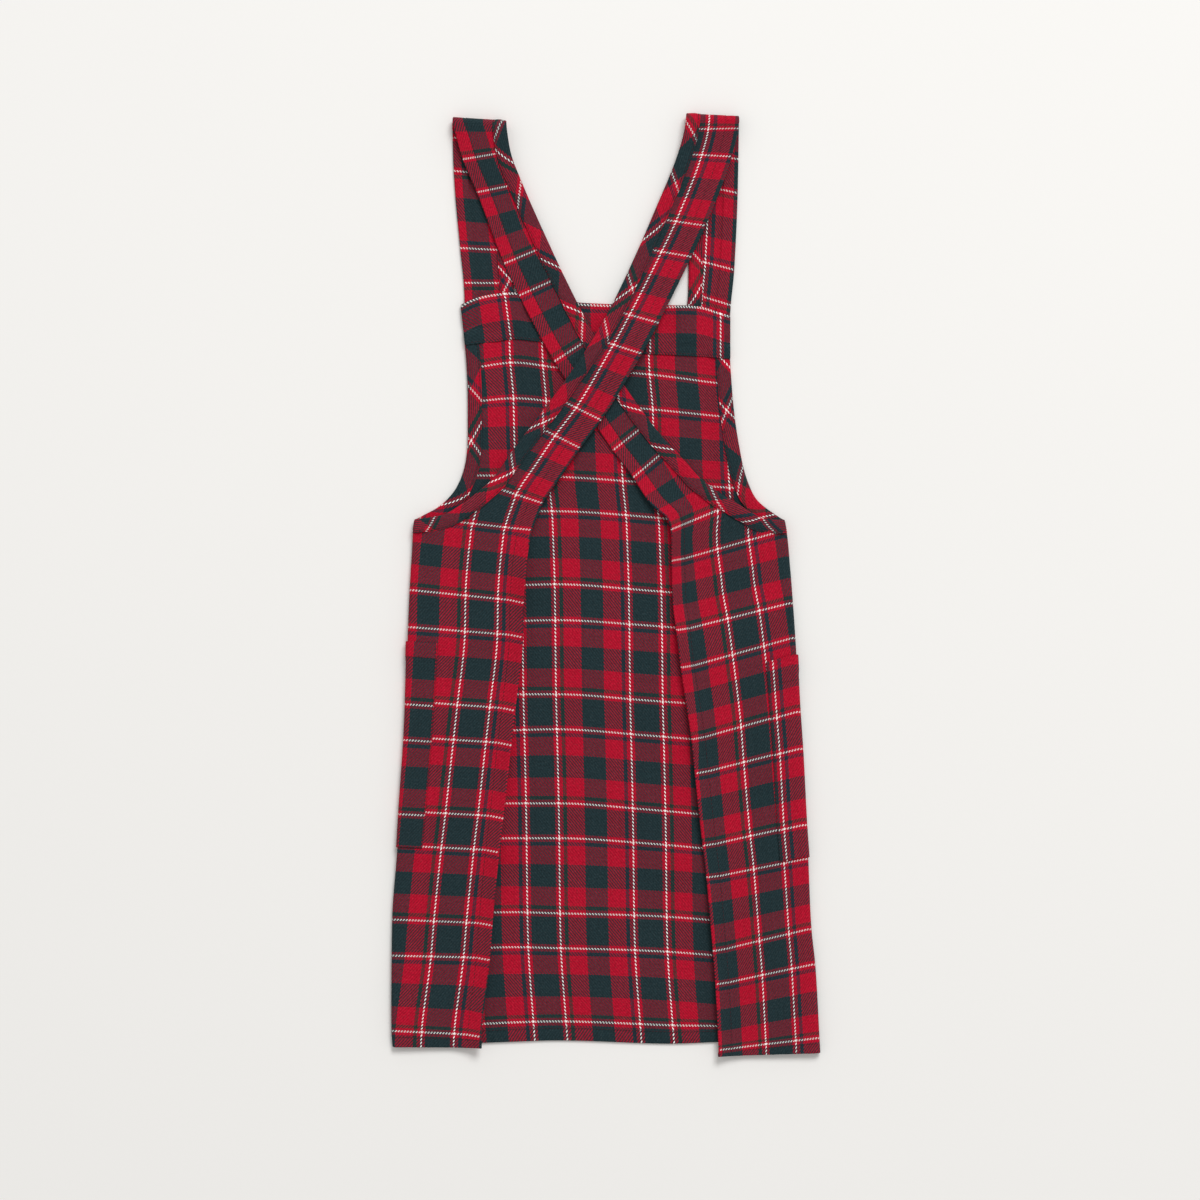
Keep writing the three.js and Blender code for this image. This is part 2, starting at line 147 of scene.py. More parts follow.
# The straps' front stretch, from the shoulder down to their ends under the facing
LEFT_FRONT = table(
    "v boundX boundY edgeX edgeY",
    (781, 59.9, 348.3, 99.1, 346.4),
    (837.5, 60.4, 301, 98.1, 292.8),
    (893.1, 61.9, 244.2, 95.5, 235.2),
    (919.6, 61.6, 218.5, 92.9, 208.6),
    (945, 58, 193, 91.4, 183.3),
)
RIGHT_FRONT = table(
    "v boundX boundY edgeX edgeY",
    (799, -74.7, 343, -114.9, 345.6),
    (837.5, -74.3, 305.5, -113.7, 309.3),
    (893.1, -71, 249.7, -108.9, 251.5),
    (919.6, -69.5, 225.3, -106.2, 225.3),
    (945, -68.5, 199.8, -105.1, 199.8),
)

# Wefts of the front panel: lineX is where the white warp line that starts the pattern crosses them,
# and the three heights are at PANEL_X
PANEL_X = (-68.4, -37.6, 29.1)
PANEL = table(
    "v lineX leftY middleY rightY",
    (0, -29, -342.3, -341.4, -343.6),
    (16.5, -30.1, -328.2, -327.5, -329.7),
    (72.1, -33.9, -272, -272.7, -274.6),
    (98.6, -34.6, -245.7, -246.5, -248.3),
    (154.2, -35.2, -190.2, -190.2, -194),
    (180.7, -35.6, -164, -164, -168.5),
    (236.3, -36.9, -109.2, -108.5, -113),
    (262.8, -37.6, -82.2, -82.2, -86.7),
    (318.4, -38.2, -27.5, -26.7, -30.5),
    (344.9, -38.6, -0.5, 0.3, -4.2),
    (372, -39.5, 26.9, 27.3, 23.2),
    (396.7, -40.4, 51.3, 51.3, 47.2),
    (427, -43.2, 81.7, 81, 76.8),
    (455, -44.4, 110.2, 109, 104.9),
    (482.6, -45.1, 139.8, 137.2, 131.9),
    (509.1, -47.4, 166.6, 163, 158),
    (535, -48.5, 193, 188.5, 183.3),
    (559, -49.6, 217.5, 212, 207.5),
)

# The bib's bound edges above the armhole's corners
BIB_LEFT = table(
    "v x y",
    (400.7, -127.6, 55.8),
    (408, -118.6, 63.6),
    (416, -112.6, 71.2),
    (427, -107.7, 82),
    (440, -104.7, 94.8),
    (455, -103.6, 109.4),
    (482.6, -103.6, 136.8),
    (509.1, -104.4, 161.9),
    (535, -106.6, 187),
    (559, -108.4, 207.6),
)
BIB_RIGHT = table(
    "v x y",
    (411, 120.4, 55.9),
    (418.5, 112.4, 63.3),
    (427, 107.9, 71.9),
    (440, 103.4, 85),
    (455, 100.4, 99.3),
    (482.6, 96.3, 125.2),
    (509.1, 94, 149.9),
    (535, 92.5, 175.8),
    (559, 91.8, 199.8),
)

# Sections of the facing along the bib's top
FACING = table(
    "x lowY topY",
    (-108.6, 179.6, 209),
    (-103, 180.2, 212.3),
    (-95, 181, 215.3),
    (-84, 182, 217.5),
    (-70, 184.1, 218.8),
    (-57, 183, 217.3),
    (-14.6, 177.4, 210.4),
    (32.6, 172.9, 209.1),
    (48, 172.3, 208.9),
    (64, 171.5, 208.7),
    (72, 171, 207.8),
    (85, 169.9, 203.6),
    (92.6, 169.2, 201.4),
)

# The warp on the wings and straps: the cloth coordinate of the free edge, how far it runs for each
# millimetre from it, and how much more of it is crowded into the stretch beside the edge
CROWDED_STRETCH = 15.0
LEFT_GRAIN = table(
    "v edgeU scale crowd",
    (0, -192.3, 1, 0),
    (180, -190.8, 1, 0),
    (372, -191.3, 1, 0),
    (427, -192.8, 1, 0),
    (509, -192.8, 1, 0),
    (565, -194.2, 1, 0),
    (960, -194.2, 1, 0),
)
RIGHT_GRAIN = table(
    "v edgeU scale crowd",
    (0, 290.6, 1.087, 0),
    (98.6, 290.2, 1.075, 0),
    (180, 290, 1.05, 0),
    (236, 290.5, 1.03, 0),
    (262, 291, 1.02, 3),
    (318, 291.8, 1, 7),
    (372, 290, 1, 10),
    (411, 287, 1, 14),
    (434, 291.5, 1, 11),
    (453, 295.6, 1, 7),
    (482, 297.3, 1, 0),
    (650, 297.5, 1, 0),
    (700, 299.6, 1.28, 0),
    (765, 299.6, 1.25, 0),
    (800, 294, 1, 0),
    (960, 293.8, 1, 0),
)

# Cloth coordinates of the pattern: the first white weft line over the hem, how far apart such lines lie
# round the broad green stripe, that stripe's middle, a white warp line and the hem's v in the middle
FIRST_LINE_V = 16.5
LINE_PAIR_V = 26.4
PHASE_V = FIRST_LINE_V - LINE_PAIR_V / 2
LINE_U = 12.2
HEM_MIDDLE_V = 3.6

# The two sides. inward is the way in X from the side fold to the middle, corner the v of the armhole's
# corner, and fold_hem and edge_hem are the hem's own v. A pocket goes from pocket_low to pocket_high along
# the fold, with its widths on the wing there. pocket_u is the u of its edge on the wing and pocket_rise how
# much higher in the cloth it is cut than the body behind it. strap_curl is the share of the edge's curl
# that the strap keeps, and edge_bend how far the wefts bend at the free edge. For the binding's yarns,
# slant is their angle to the tape in degrees, green_at where a broad green stripe crosses it, ease what is
# eased in round the armhole's corner and front the shift on the strap's front stretch.
LEFT = SimpleNamespace(
    name="left", skirt=LEFT_SKIRT, strap=LEFT_STRAP, front=LEFT_FRONT, bib=BIB_LEFT, grain=LEFT_GRAIN,
    inward=1, corner=LEFT_SKIRT["v"][-1], fold_hem=4.5, edge_hem=7.3, strap_curl=0.35, edge_bend=1.2,
    pocket_low=-196.5, pocket_high=-43, pocket_low_width=18.3, pocket_high_width=22.2,
    pocket_u=-128.9, pocket_rise=2.4,
    warp_slant=29.0, warp_green_at=282.2, warp_ease=27.0, warp_front=23.7,
    weft_slant=42.3, weft_green_at=299.7, weft_ease=25.0, weft_front=13.6,
)
RIGHT = SimpleNamespace(
    name="right", skirt=RIGHT_SKIRT, strap=RIGHT_STRAP, front=RIGHT_FRONT, bib=BIB_RIGHT, grain=RIGHT_GRAIN,
    inward=-1, corner=RIGHT_SKIRT["v"][-1], fold_hem=5.5, edge_hem=11.5, strap_curl=0, edge_bend=-1.0,
    pocket_low=-204, pocket_high=-53, pocket_low_width=21.2, pocket_high_width=23.2,
    pocket_u=232.6, pocket_rise=0.4,
    warp_slant=40.4, warp_green_at=276.2, warp_ease=14.5, warp_front=0,
    weft_slant=30.4, weft_green_at=318.5, weft_ease=37.0, weft_front=0,
)
SIDES = (LEFT, RIGHT)

# Spacing of the grids. The stops, from the hem and from a free edge, are close where a turned layer ends.
# The hem's are given for a skirt of SKIRT_LENGTH.
GRID_STEP = 3.6
SKIRT_LENGTH = 400.0
HEM_STOPS = (0, 0.4, 1.2, 3, 5.5, 8, 9.5, 10.6, 11, 11.5, 13.5)
EDGE_STOPS = (0, 0.4, 1.2, 3, 5.5, 7.6, 8.6, 9.6, 10, 10.5, 12.5)
WING_COLUMNS = 15
ARC_STEPS = 12
CURVE_STEPS = 4000
WELD_DIGITS = 4
PANEL_COLUMNS = 85
PANEL_SHARES = np.linspace(0, 1, PANEL_COLUMNS)[None, :]
ARC_SHARES = np.linspace(0, 1, ARC_STEPS + 1)[1:-1]

# Columns of the skirt's grid, from the left wing's free edge to the right one's
ON_WING = len(EDGE_STOPS) + WING_COLUMNS - 1
ON_FLANK = ON_WING + len(ARC_SHARES)
COLUMNS = {
    "left_wing": slice(0, ON_WING),
    "left_arc": slice(ON_WING - 1, ON_FLANK + 1),
    "panel": slice(ON_FLANK, -ON_FLANK),
    "right_arc": slice(-ON_FLANK - 1, -ON_WING + 1),
    "right_wing": slice(-ON_WING, None),
}

# Gap under the panel, lowest height of tape and thread, gap between pocket and body, how far a cut edge is
# rounded out, the distance in which a turned layer ends, and how broad a dimple a seam pulls
TABLE_GAP = 0.05
LOWEST = 0.02
LAYER_GAP = 0.05
RIM_BULGE = 0.5
TURN_END = 0.5
DIMPLE_WIDTH = 1.1


def smooth(keys, values, at):
    """Value between a table's rows, on a curve that doesn't swing past them."""
    keys, values, at = (np.asarray(a, float) for a in (keys, values, at))
    steps = np.diff(keys)
    slopes = np.diff(values) / steps
    before, after = slopes[:-1], slopes[1:]
    total = np.where(np.abs(before + after) > 1e-12, before + after, 1.0)
    tangents = np.concatenate((
        slopes[:1], np.where(before * after > 0, 2 * before * after / total, 0), slopes[-1:]))
    k = np.clip(np.searchsorted(keys, at, side="right") - 1, 0, len(keys) - 2)
    t = (at - keys[k]) / steps[k]
    return (
        values[k] * (1 + 2 * t) * (1 - t) ** 2
        + steps[k] * tangents[k] * t * (1 - t) ** 2
        + values[k + 1] * t * t * (3 - 2 * t)
        + steps[k] * tangents[k + 1] * t * t * (t - 1)
    )


def section(sections, keys, at):
    """Some columns of a table at places between its rows, side by side."""
    return np.stack([smooth(sections["v"], sections[key], at) for key in keys.split()], -1)


def ramp(low, high, x):
    """0 below low, 1 above high and a smooth step between."""
    t = np.clip((np.asarray(x, float) - low) / (high - low), 0, 1)
    return t * t * (3 - 2 * t)


def bell(x, middle, width):
    """1 at the middle, falling off softly on both sides."""
    return np.exp(-(((x - middle) / width) ** 2))


def mix(a, b, share):
    """The value so far on the way from a to b."""
    return a + (b - a) * share


def unit(vectors):
    """Vectors at a length of 1."""
    return vectors / np.maximum(np.linalg.norm(vectors, axis=-1, keepdims=True), 1e-9)


def travel(points):
    """The way along lines of points, from the first point of each."""
    steps = np.diff(points, axis=-2, prepend=points[..., :1, :])
    return np.cumsum(np.linalg.norm(steps, axis=-1), -1)


def waves(x, y, lengths, seed):
    """Soft ripples between -1 and 1 made of a few waves with fixed directions."""
    draw = np.random.default_rng(seed)
    total = np.zeros(np.broadcast(x, y).shape)
    for length in lengths:
        angle, phase = draw.uniform(0, 2 * math.pi, 2)
        along = x * math.cos(angle) + y * math.sin(angle)
        total = total + np.sin(2 * math.pi * along / length + phase)
    return total / len(lengths)


class Cloth:
    """A cloth as named grids of its middle surface that share their seams.

    inside and outside say how far each face stands off the middle. The faces have cloth coordinates
    of their own, because a turned hem shows the cloth beyond its fold.
    """

    def __init__(self):
        self.grids = {}

    def grid(self, name, points, uv, inside, outside, inside_uv=None):
        """Adds a grid."""
        shape = points.shape[:2]
        self.grids[name] = SimpleNamespace(
            points=points,
            uv=uv,
            inside=np.broadcast_to(inside, shape),
            outside=np.broadcast_to(outside, shape),
            inside_uv=uv if inside_uv is None else inside_uv,
        )
        return self

    def gathered(self, key, *shape):
        """One value of all grids, point by point."""
        return np.concatenate([getattr(g, key).reshape(-1, *shape) for g in self.grids.values()])

    def weld(self):
        """Joins the grids at their shared points and works out the normals, towards the inside."""
        flat = self.gathered("points", 3)
        _, self.first, ids = np.unique(
            np.round(flat, WELD_DIGITS), axis=0, return_index=True, return_inverse=True)
        ids = ids.reshape(-1)
        self.middle = flat[self.first]
        corners, start = [], 0
        for g in self.grids.values():
            g.at = start + np.arange(g.inside.size).reshape(g.inside.shape)
            quads = np.stack((g.at[:-1, :-1], g.at[:-1, 1:], g.at[1:, 1:], g.at[1:, :-1]), -1)
            corners.append(quads.reshape(-1, 4))
            start += g.at.size
        self.corners = np.concatenate(corners)
        self.quads = ids[self.corners]
        a, b, c, d = (self.middle[self.quads[:, k]] for k in range(4))
        face = unit(np.cross(c - a, d - b))
        normals = np.zeros_like(self.middle)
        for k in range(4):
            np.add.at(normals, self.quads[:, k], face)
        self.normals = unit(normals)
        for g in self.grids.values():
            g.normals = self.normals[ids[g.at]]
        return self

    def rim(self):
        """Free edges as pairs of points, and at each point the way out of the cloth."""
        edges = np.concatenate([self.quads[:, (k, (k + 1) % 4)] for k in range(4)]).tolist()
        known = {(a, b) for a, b in edges}
        free = np.array([(a, b) for a, b in edges if (b, a) not in known])
        along = self.middle[free[:, 1]] - self.middle[free[:, 0]]
        out = np.zeros_like(self.middle)
        for end in (0, 1):
            np.add.at(out, free[:, end], np.cross(along, self.normals[free[:, end]]))
        return free, unit(out)

    def mesh(self, name):
        """A closed mesh of the welded cloth: both faces and a rounded rim along the free edges."""
        inside, outside = (self.gathered(key)[self.first][:, None] for key in ("inside", "outside"))
        uv, inside_uv = (self.gathered(key, 2) for key in ("uv", "inside_uv"))
        upper = self.middle + self.normals * inside
        lower = self.middle - self.normals * outside
        free, out = self.rim()
        rim = (upper + lower) / 2 + out * np.minimum((inside + outside) / 2, RIM_BULGE)
        count = len(self.middle)
        down, edge = count, 2 * count
        a, b = free.T
        walls = np.concatenate((
            np.stack((b, a, a + edge, b + edge), 1),
            np.stack((b + edge, a + edge, a + down, b + down), 1)))
        faces = np.concatenate((self.quads, self.quads[:, ::-1] + down, walls))
        face_uv = np.concatenate((
            inside_uv[self.corners], uv[self.corners[:, ::-1]], uv[self.first][walls % count]))
        used, index = np.unique(faces, return_inverse=True)
        points = np.concatenate((upper, lower, rim))[used]
        return cloth_mesh(name, points, index.reshape(faces.shape).tolist(), face_uv)


def cloth_mesh(name, points, faces, corner_uv):
    """A smooth closed mesh, turned right side out, with cloth coordinates in metres as its UV map."""
    mesh = bpy.data.meshes.new(name)
    mesh.from_pydata((points * MM).tolist(), [], faces)
    layer = mesh.uv_layers.new(name="cloth")
    layer.data.foreach_set("uv", (corner_uv * MM).astype(np.float32).ravel())
    mesh.polygons.foreach_set("use_smooth", np.ones(len(faces), bool))
    mesh.update()
    if sum(face.normal.dot(face.center) * face.area for face in mesh.polygons) < 0:
        mesh.flip_normals()
    if mesh.validate():
        raise RuntimeError(f"{name} had faulty faces")
    return mesh


def add_to_scene(name, data, location=(0, 0, 0)):
    """A new object in the scene."""
    thing = bpy.data.objects.new(name, data)
    thing.location = location
    bpy.context.scene.collection.objects.link(thing)
    return thing


def place(name, mesh, material, replaced=()):
    """Puts a piece in the scene on the apron's body."""
    old = bpy.data.objects.get(name)
    if old is not None:
        bpy.data.objects.remove(old)
    piece = add_to_scene(name, mesh)
    mesh.materials.clear()
    mesh.materials.append(material)
    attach(piece, BODY)
    if replaced:
        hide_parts(*replaced)
    return piece


def millimetres(settings):
    """The cloth settings as plain millimetres."""
    return SimpleNamespace(**{
        key: getattr(settings, key) / MM for key in settings.__annotations__})


# Shape of the body

# Ripples of the panel, the wings and their free edges: wave lengths and seed
PANEL_WAVES = (58, 83, 121, 170), 3
WING_WAVES = (47, 66, 95), 8
CURL_WAVES = (70, 110, 150), 21

# How far the pockets reach under the panel, where it comes down past their inner side and their ends and
# below their upper hem, and the gap over them
POCKET_UNDER = 110.0
PAST_POCKET_SIDE = (4, 34)
PAST_POCKET_END = (4, 22)
BELOW_POCKET_HEM = (16, 26)
OVER_POCKET = 0.1

# Where the hem bows, the rows and the reach in which the panel's bound edges lie higher, and the share of
# its height to which a binding puffs up
HEM_BOW_X = 92.0
HEM_BOW_WIDTH = 32.0
HEM_BOW_TOP = 40.0
BOUND_START = (LEFT.corner - 24, LEFT.corner - 4)
BOUND_END = (534, 546)
BOUND_REACH = (9, 24)
BINDING_PUFF = 1.06

# A wing falls from its fold to its free edge by this power of the way and puffs in full from this width.
# Over the hem it lies a layer higher, which ends this far past it.
WING_FALL = 1.7
PUFF_WIDTH = 80.0
PAST_HEM = 22.0

# Distances from a free edge in which it is turned under, curls and has bent wefts, the share by which the
# curl is uneven, and the rows in which the bend starts
EDGE_TURN = 10.0
CURL_STRETCH = 24.0
BEND_STRETCH = 10.0
CURL_UNEVEN = 0.45
BEND_START = (0, 30)

# Unevenness of the side folds: share, stretch and phase of two waves
FOLD_WAVES = ((0.08, 23.0, 0), (0.06, 61.0, 1))

# The panel's pattern eases to the wing's within this stretch of the fold, which ends at these shares of
# the skirt's height. The hem's stitching lies this far below its upper edge.
EASE_STRETCH = 58.0
EASE_END = (0.86, 1)
HEM_STITCH = 1.3

# Along the straps: how soon past the corner the cloth draws back into the binding, where the edge's curl
# fades past the corner and before the shoulder, and where and how far the ends rise under the facing
NOSE_START = 3.0
CURL_FADE = (20, 110)
SHOULDER_FADE = (690, 740)
STRAP_END = (919, 945)
STRAP_END_RISE = 0.5


def cloth_v(row, hem_v):
    """Cloth coordinate of a skirt section: the lowest ones bend from the weft to the hem."""
    bent = hem_v + (FIRST_LINE_V - hem_v) * row / FIRST_LINE_V
    return np.where(row < FIRST_LINE_V, bent, row)


def panel_ends(side, cloth, row):
    """Where a weft of the front panel ends: at the side fold, or above it at the bib's bound edge."""
    keys = np.concatenate((side.skirt["v"], side.bib["v"]))
    x = smooth(keys, np.concatenate((side.skirt["foldX"], side.bib["x"])), row)
    y = smooth(keys, np.concatenate((side.skirt["foldY"], side.bib["y"])), row)
    in_fold = cloth.fold_radius + cloth.thickness / 2
    inset = mix(in_fold, cloth.binding_nose, ramp(side.corner, side.bib["v"][0], row))
    return x + side.inward * inset, y


def pocket_lift(x, y, cloth):
    """How far the pockets under the panel raise it."""
    lift = 0
    near, far = PAST_POCKET_END
    for side in SIDES:
        fold_x = smooth(side.skirt["foldY"], side.skirt["foldX"], y)
        depth = (x - fold_x) * side.inward
        across = 1 - ramp(*PAST_POCKET_SIDE, depth - POCKET_UNDER)
        along = ramp(side.pocket_low - far, side.pocket_low - near, y)
        along = along * (1 - ramp(side.pocket_high + near, side.pocket_high + far, y))
        hem = 1 - ramp(*BELOW_POCKET_HEM, side.pocket_high - y)
        lift = np.maximum(lift, across * along * (cloth.layer + OVER_POCKET + hem * cloth.pocket_hem))
    return lift


def panel_height(x, y, cloth):
    """Height of the panel's middle over the table, without its bound edges."""
    ripple = cloth.ripple * (1 + waves(x, y, *PANEL_WAVES)) / 2
    return cloth.thickness / 2 + TABLE_GAP + ripple + pocket_lift(x, y, cloth)


def panel_points(row, cloth):
    """Points of the front panel on its wefts, with their cloth coordinate across."""
    left_x, left_y = panel_ends(LEFT, cloth, row)
    right_x, right_y = panel_ends(RIGHT, cloth, row)
    x = mix(left_x, right_x, PANEL_SHARES)
    heights = np.moveaxis(section(PANEL, "leftY middleY rightY", row), -1, 0)
    y = np.empty_like(x)
    for at in np.ndindex(x.shape):
        places = (left_x[at], *PANEL_X, right_x[at])
        values = (left_y[at], *(height[at] for height in heights), right_y[at])
        y[at] = smooth(places, values, x[at])
    y = y + cloth.hem_bow * bell(x, HEM_BOW_X, HEM_BOW_WIDTH) * (1 - ramp(0, HEM_BOW_TOP, row))
    edge = np.minimum(x - left_x, right_x - x)
    bound = ramp(*BOUND_START, row) * (1 - ramp(*BOUND_END, row))
    room = cloth.binding_height * BINDING_PUFF - cloth.thickness / 2
    z = panel_height(x, y, cloth) + bound * (1 - ramp(*BOUND_REACH, edge)) * room
    u = x - smooth(PANEL["v"], PANEL["lineX"], row) + LINE_U
    return np.stack((x, y, z), -1), u


def wing_spread(length):
    """Distances of a wing's or strap's columns from its free edge."""
    near = np.array(EDGE_STOPS, float)
    shares = np.linspace(0, 1, WING_COLUMNS)[1:]
    far = near[-1] + (length[:, None] - near[-1]) * shares
    return np.hstack((np.broadcast_to(near, (len(length), len(near))), far))


def wing_u(side, row, distance):
    """Cloth coordinate across a wing or strap."""
    edge_u, scale, crowd = section(side.grain, "edgeU scale crowd", row).T[..., None]
    crowded = crowd * np.clip(1 - distance / CROWDED_STRETCH, 0, 1)
    return edge_u + side.inward * (scale * distance - crowded)


def edge_curl(x, y, cloth):
    """How far a free edge lifts off at a place, unevenly along its length."""
    return cloth.edge_curl * (1 + CURL_UNEVEN * waves(x, y, *CURL_WAVES))


def wing_points(outer, edge, curl, cloth):
    """Points across a wing or strap from its free edge to the outer end, and their distances."""
    length = np.linalg.norm((outer - edge)[:, :2], axis=1)
    distance = wing_spread(length)
    share = distance / length[:, None]
    points = edge[:, None, :] + (outer - edge)[:, None, :] * share[..., None]
    points[..., 2] = mix(edge[:, None, 2], outer[:, None, 2], share ** WING_FALL)
    # The puff is full in the middle between the edge and the fold
    puff = 4 * waves(points[..., 0], points[..., 1], *WING_WAVES) * share * (1 - share)
    points[..., 2] += cloth.wing_puff * puff * np.clip(length[:, None] / PUFF_WIDTH, 0, 1) ** 2
    points[..., 2] += curl[:, None] * np.clip(1 - distance / CURL_STRETCH, 0, 1) ** 2
    return points, distance


def edge_faces(distance, cloth):
    """Standoff of both faces of a wing or strap: its free edge is turned under and stitched."""
    turned = 1 - ramp(EDGE_TURN, EDGE_TURN + TURN_END, distance)
    half = cloth.thickness / 2
    dimple = cloth.dimple * bell(distance, cloth.edge_stitch, DIMPLE_WIDTH)
    return half + turned * cloth.layer, half - dimple


def skirt_rows():
    """Shares of the way from the hem to the armhole's corner, close together at the hem."""
    near = np.array(HEM_STOPS, float)
    steps = round((SKIRT_LENGTH - near[-1]) / GRID_STEP)
    return np.concatenate((near, np.linspace(near[-1], SKIRT_LENGTH, steps + 1)[1:])) / SKIRT_LENGTH


def fold_radius(row, cloth):
    """Radius of the side fold, a little uneven along its length."""
    uneven = sum(share * np.sin(row / stretch + phase) for share, stretch, phase in FOLD_WAVES)
    return cloth.fold_radius * (1 + uneven)


def wing_on_skirt(side, shares, panel_end_z, cloth):
    """One wing beside the skirt: points from free edge to fold, distances and cloth coordinates."""
    row = shares * side.corner
    fold_x, fold_y, edge_x, edge_y = section(side.skirt, "foldX foldY edgeX edgeY", row).T
    inset = side.inward * (cloth.fold_radius + cloth.thickness / 2)
    outer = np.stack((fold_x + inset, fold_y, panel_end_z + 2 * fold_radius(row, cloth)), -1)
    over_hem = 1 - ramp(cloth.hem_width, cloth.hem_width + PAST_HEM, shares * SKIRT_LENGTH)
    edge_z = panel_height(edge_x, edge_y, cloth) + (2 + over_hem) * cloth.layer
    edge = np.stack((edge_x, edge_y, edge_z), -1)
    points, distance = wing_points(outer, edge, edge_curl(edge_x, edge_y, cloth), cloth)
    across = distance / distance[:, -1:]
    v = mix(cloth_v(row, side.edge_hem)[:, None], cloth_v(row, side.fold_hem)[:, None], across)
    v = v + side.edge_bend * np.clip(1 - distance / BEND_STRETCH, 0, 1) * ramp(*BEND_START, row)[:, None]
    return points, distance, np.stack((wing_u(side, row, distance), v), -1)


def fold_arc(side, start, top, uv_start, uv_top, radius):
    """Points round the outside of a side fold, from the panel up to the wing, ends left out."""
    angle = math.pi * (ARC_SHARES - 0.5)
    x = start[:, None, 0] - side.inward * radius[:, None] * np.cos(angle)
    y = mix(start[:, None, 1], top[:, None, 1], ARC_SHARES)
    z = start[:, None, 2] + radius[:, None] * (1 + np.sin(angle))
    uv = mix(uv_start[:, None, :], uv_top[:, None, :], ARC_SHARES[:, None])
    return np.stack((x, y, z), -1), uv


def skirt_grid(cloth):
    """The skirt from wing to wing as one grid, with the hem turned up on its inside."""
    shares = skirt_rows()
    row = shares[:, None] * mix(LEFT.corner, RIGHT.corner, PANEL_SHARES)
    panel, u = panel_points(row, cloth)
    fold_hem = mix(LEFT.fold_hem, RIGHT.fold_hem, PANEL_SHARES)
    v = cloth_v(row, mix(HEM_MIDDLE_V, fold_hem, (2 * PANEL_SHARES - 1) ** 2))
    half = cloth.thickness / 2
    flanks = []
    for side, end in ((LEFT, 0), (RIGHT, -1)):
        wing, distance, wing_uv = wing_on_skirt(side, shares, panel[:, end, 2], cloth)
        radius = fold_radius(shares * side.corner, cloth)
        # The panel's pattern eases under the wing to meet the wing's at the fold
        gap = wing_uv[:, -1, 0] + side.inward * math.pi * radius - u[:, end]
        fade = 1 - ramp(*EASE_END, shares)
        depth = np.abs(panel[..., 0] - panel[:, end, 0][:, None])
        u = u + (gap * fade)[:, None] * np.clip(1 - depth / EASE_STRETCH, 0, 1)
        start_uv = np.stack((u[:, end], v[:, end]), -1)
        arc, arc_uv = fold_arc(side, panel[:, end], wing[:, -1], start_uv, wing_uv[:, -1], radius)
        plain = np.full(arc.shape[:2], half)
        inside, outside = edge_faces(distance, cloth)
        pairs = (wing, arc), (wing_uv, arc_uv), (inside, plain), (outside, plain)
        flanks.append([
            np.concatenate((on_wing, on_fold[:, ::-1]), 1)[:, ::side.inward]
            for on_wing, on_fold in pairs])
    plain = np.full(u.shape, half)
    middle = panel, np.stack((u, v), -1), plain, plain
    points, uv, inside, outside = (
        np.concatenate(blocks, 1) for blocks in zip(flanks[0], middle, flanks[1]))
    up = shares[:, None] * SKIRT_LENGTH
    hem = 1 - ramp(cloth.hem_width, cloth.hem_width + TURN_END, up)
    dimple = cloth.dimple * bell(up, cloth.hem_width - HEM_STITCH, DIMPLE_WIDTH)
    turned_v = 2 * uv[:1, :, 1] - uv[..., 1] + cloth.hem_shift
    turned_uv = np.stack((uv[..., 0], turned_v), -1)
    inside_uv = np.where(hem[..., None] > 0.5, turned_uv, uv)
    return points, uv, inside + hem * cloth.layer - dimple, outside, inside_uv


def even_rows(low, high, *curves):
    """Rows between two table places, close together where one of the curves moves fast."""
    fine = np.linspace(low, high, CURVE_STEPS)
    steps = np.max([np.linalg.norm(np.diff(curve(fine), axis=0), axis=1) for curve in curves], 0)
    way = np.concatenate(([0], np.cumsum(steps)))
    count = max(2, round(way[-1] / GRID_STEP))
    return np.interp(np.linspace(0, way[-1], count + 1), way, fine)


def bib_grid(skirt, cloth):
    """The bib above the skirt's top row."""
    top = PANEL["v"][-1]

    def bound(side, climb):
        return np.stack(panel_ends(side, cloth, mix(side.corner, top, climb)), -1)

    climb = even_rows(0, 1, partial(bound, LEFT), partial(bound, RIGHT))[1:, None]
    row = mix(mix(LEFT.corner, RIGHT.corner, PANEL_SHARES), top, climb)
    points, u = panel_points(row, cloth)
    points = np.concatenate((skirt.points[-1:, COLUMNS["panel"]], points))
    uv = np.concatenate((skirt.uv[-1:, COLUMNS["panel"]], np.stack((u, row), -1)))
    return points, uv


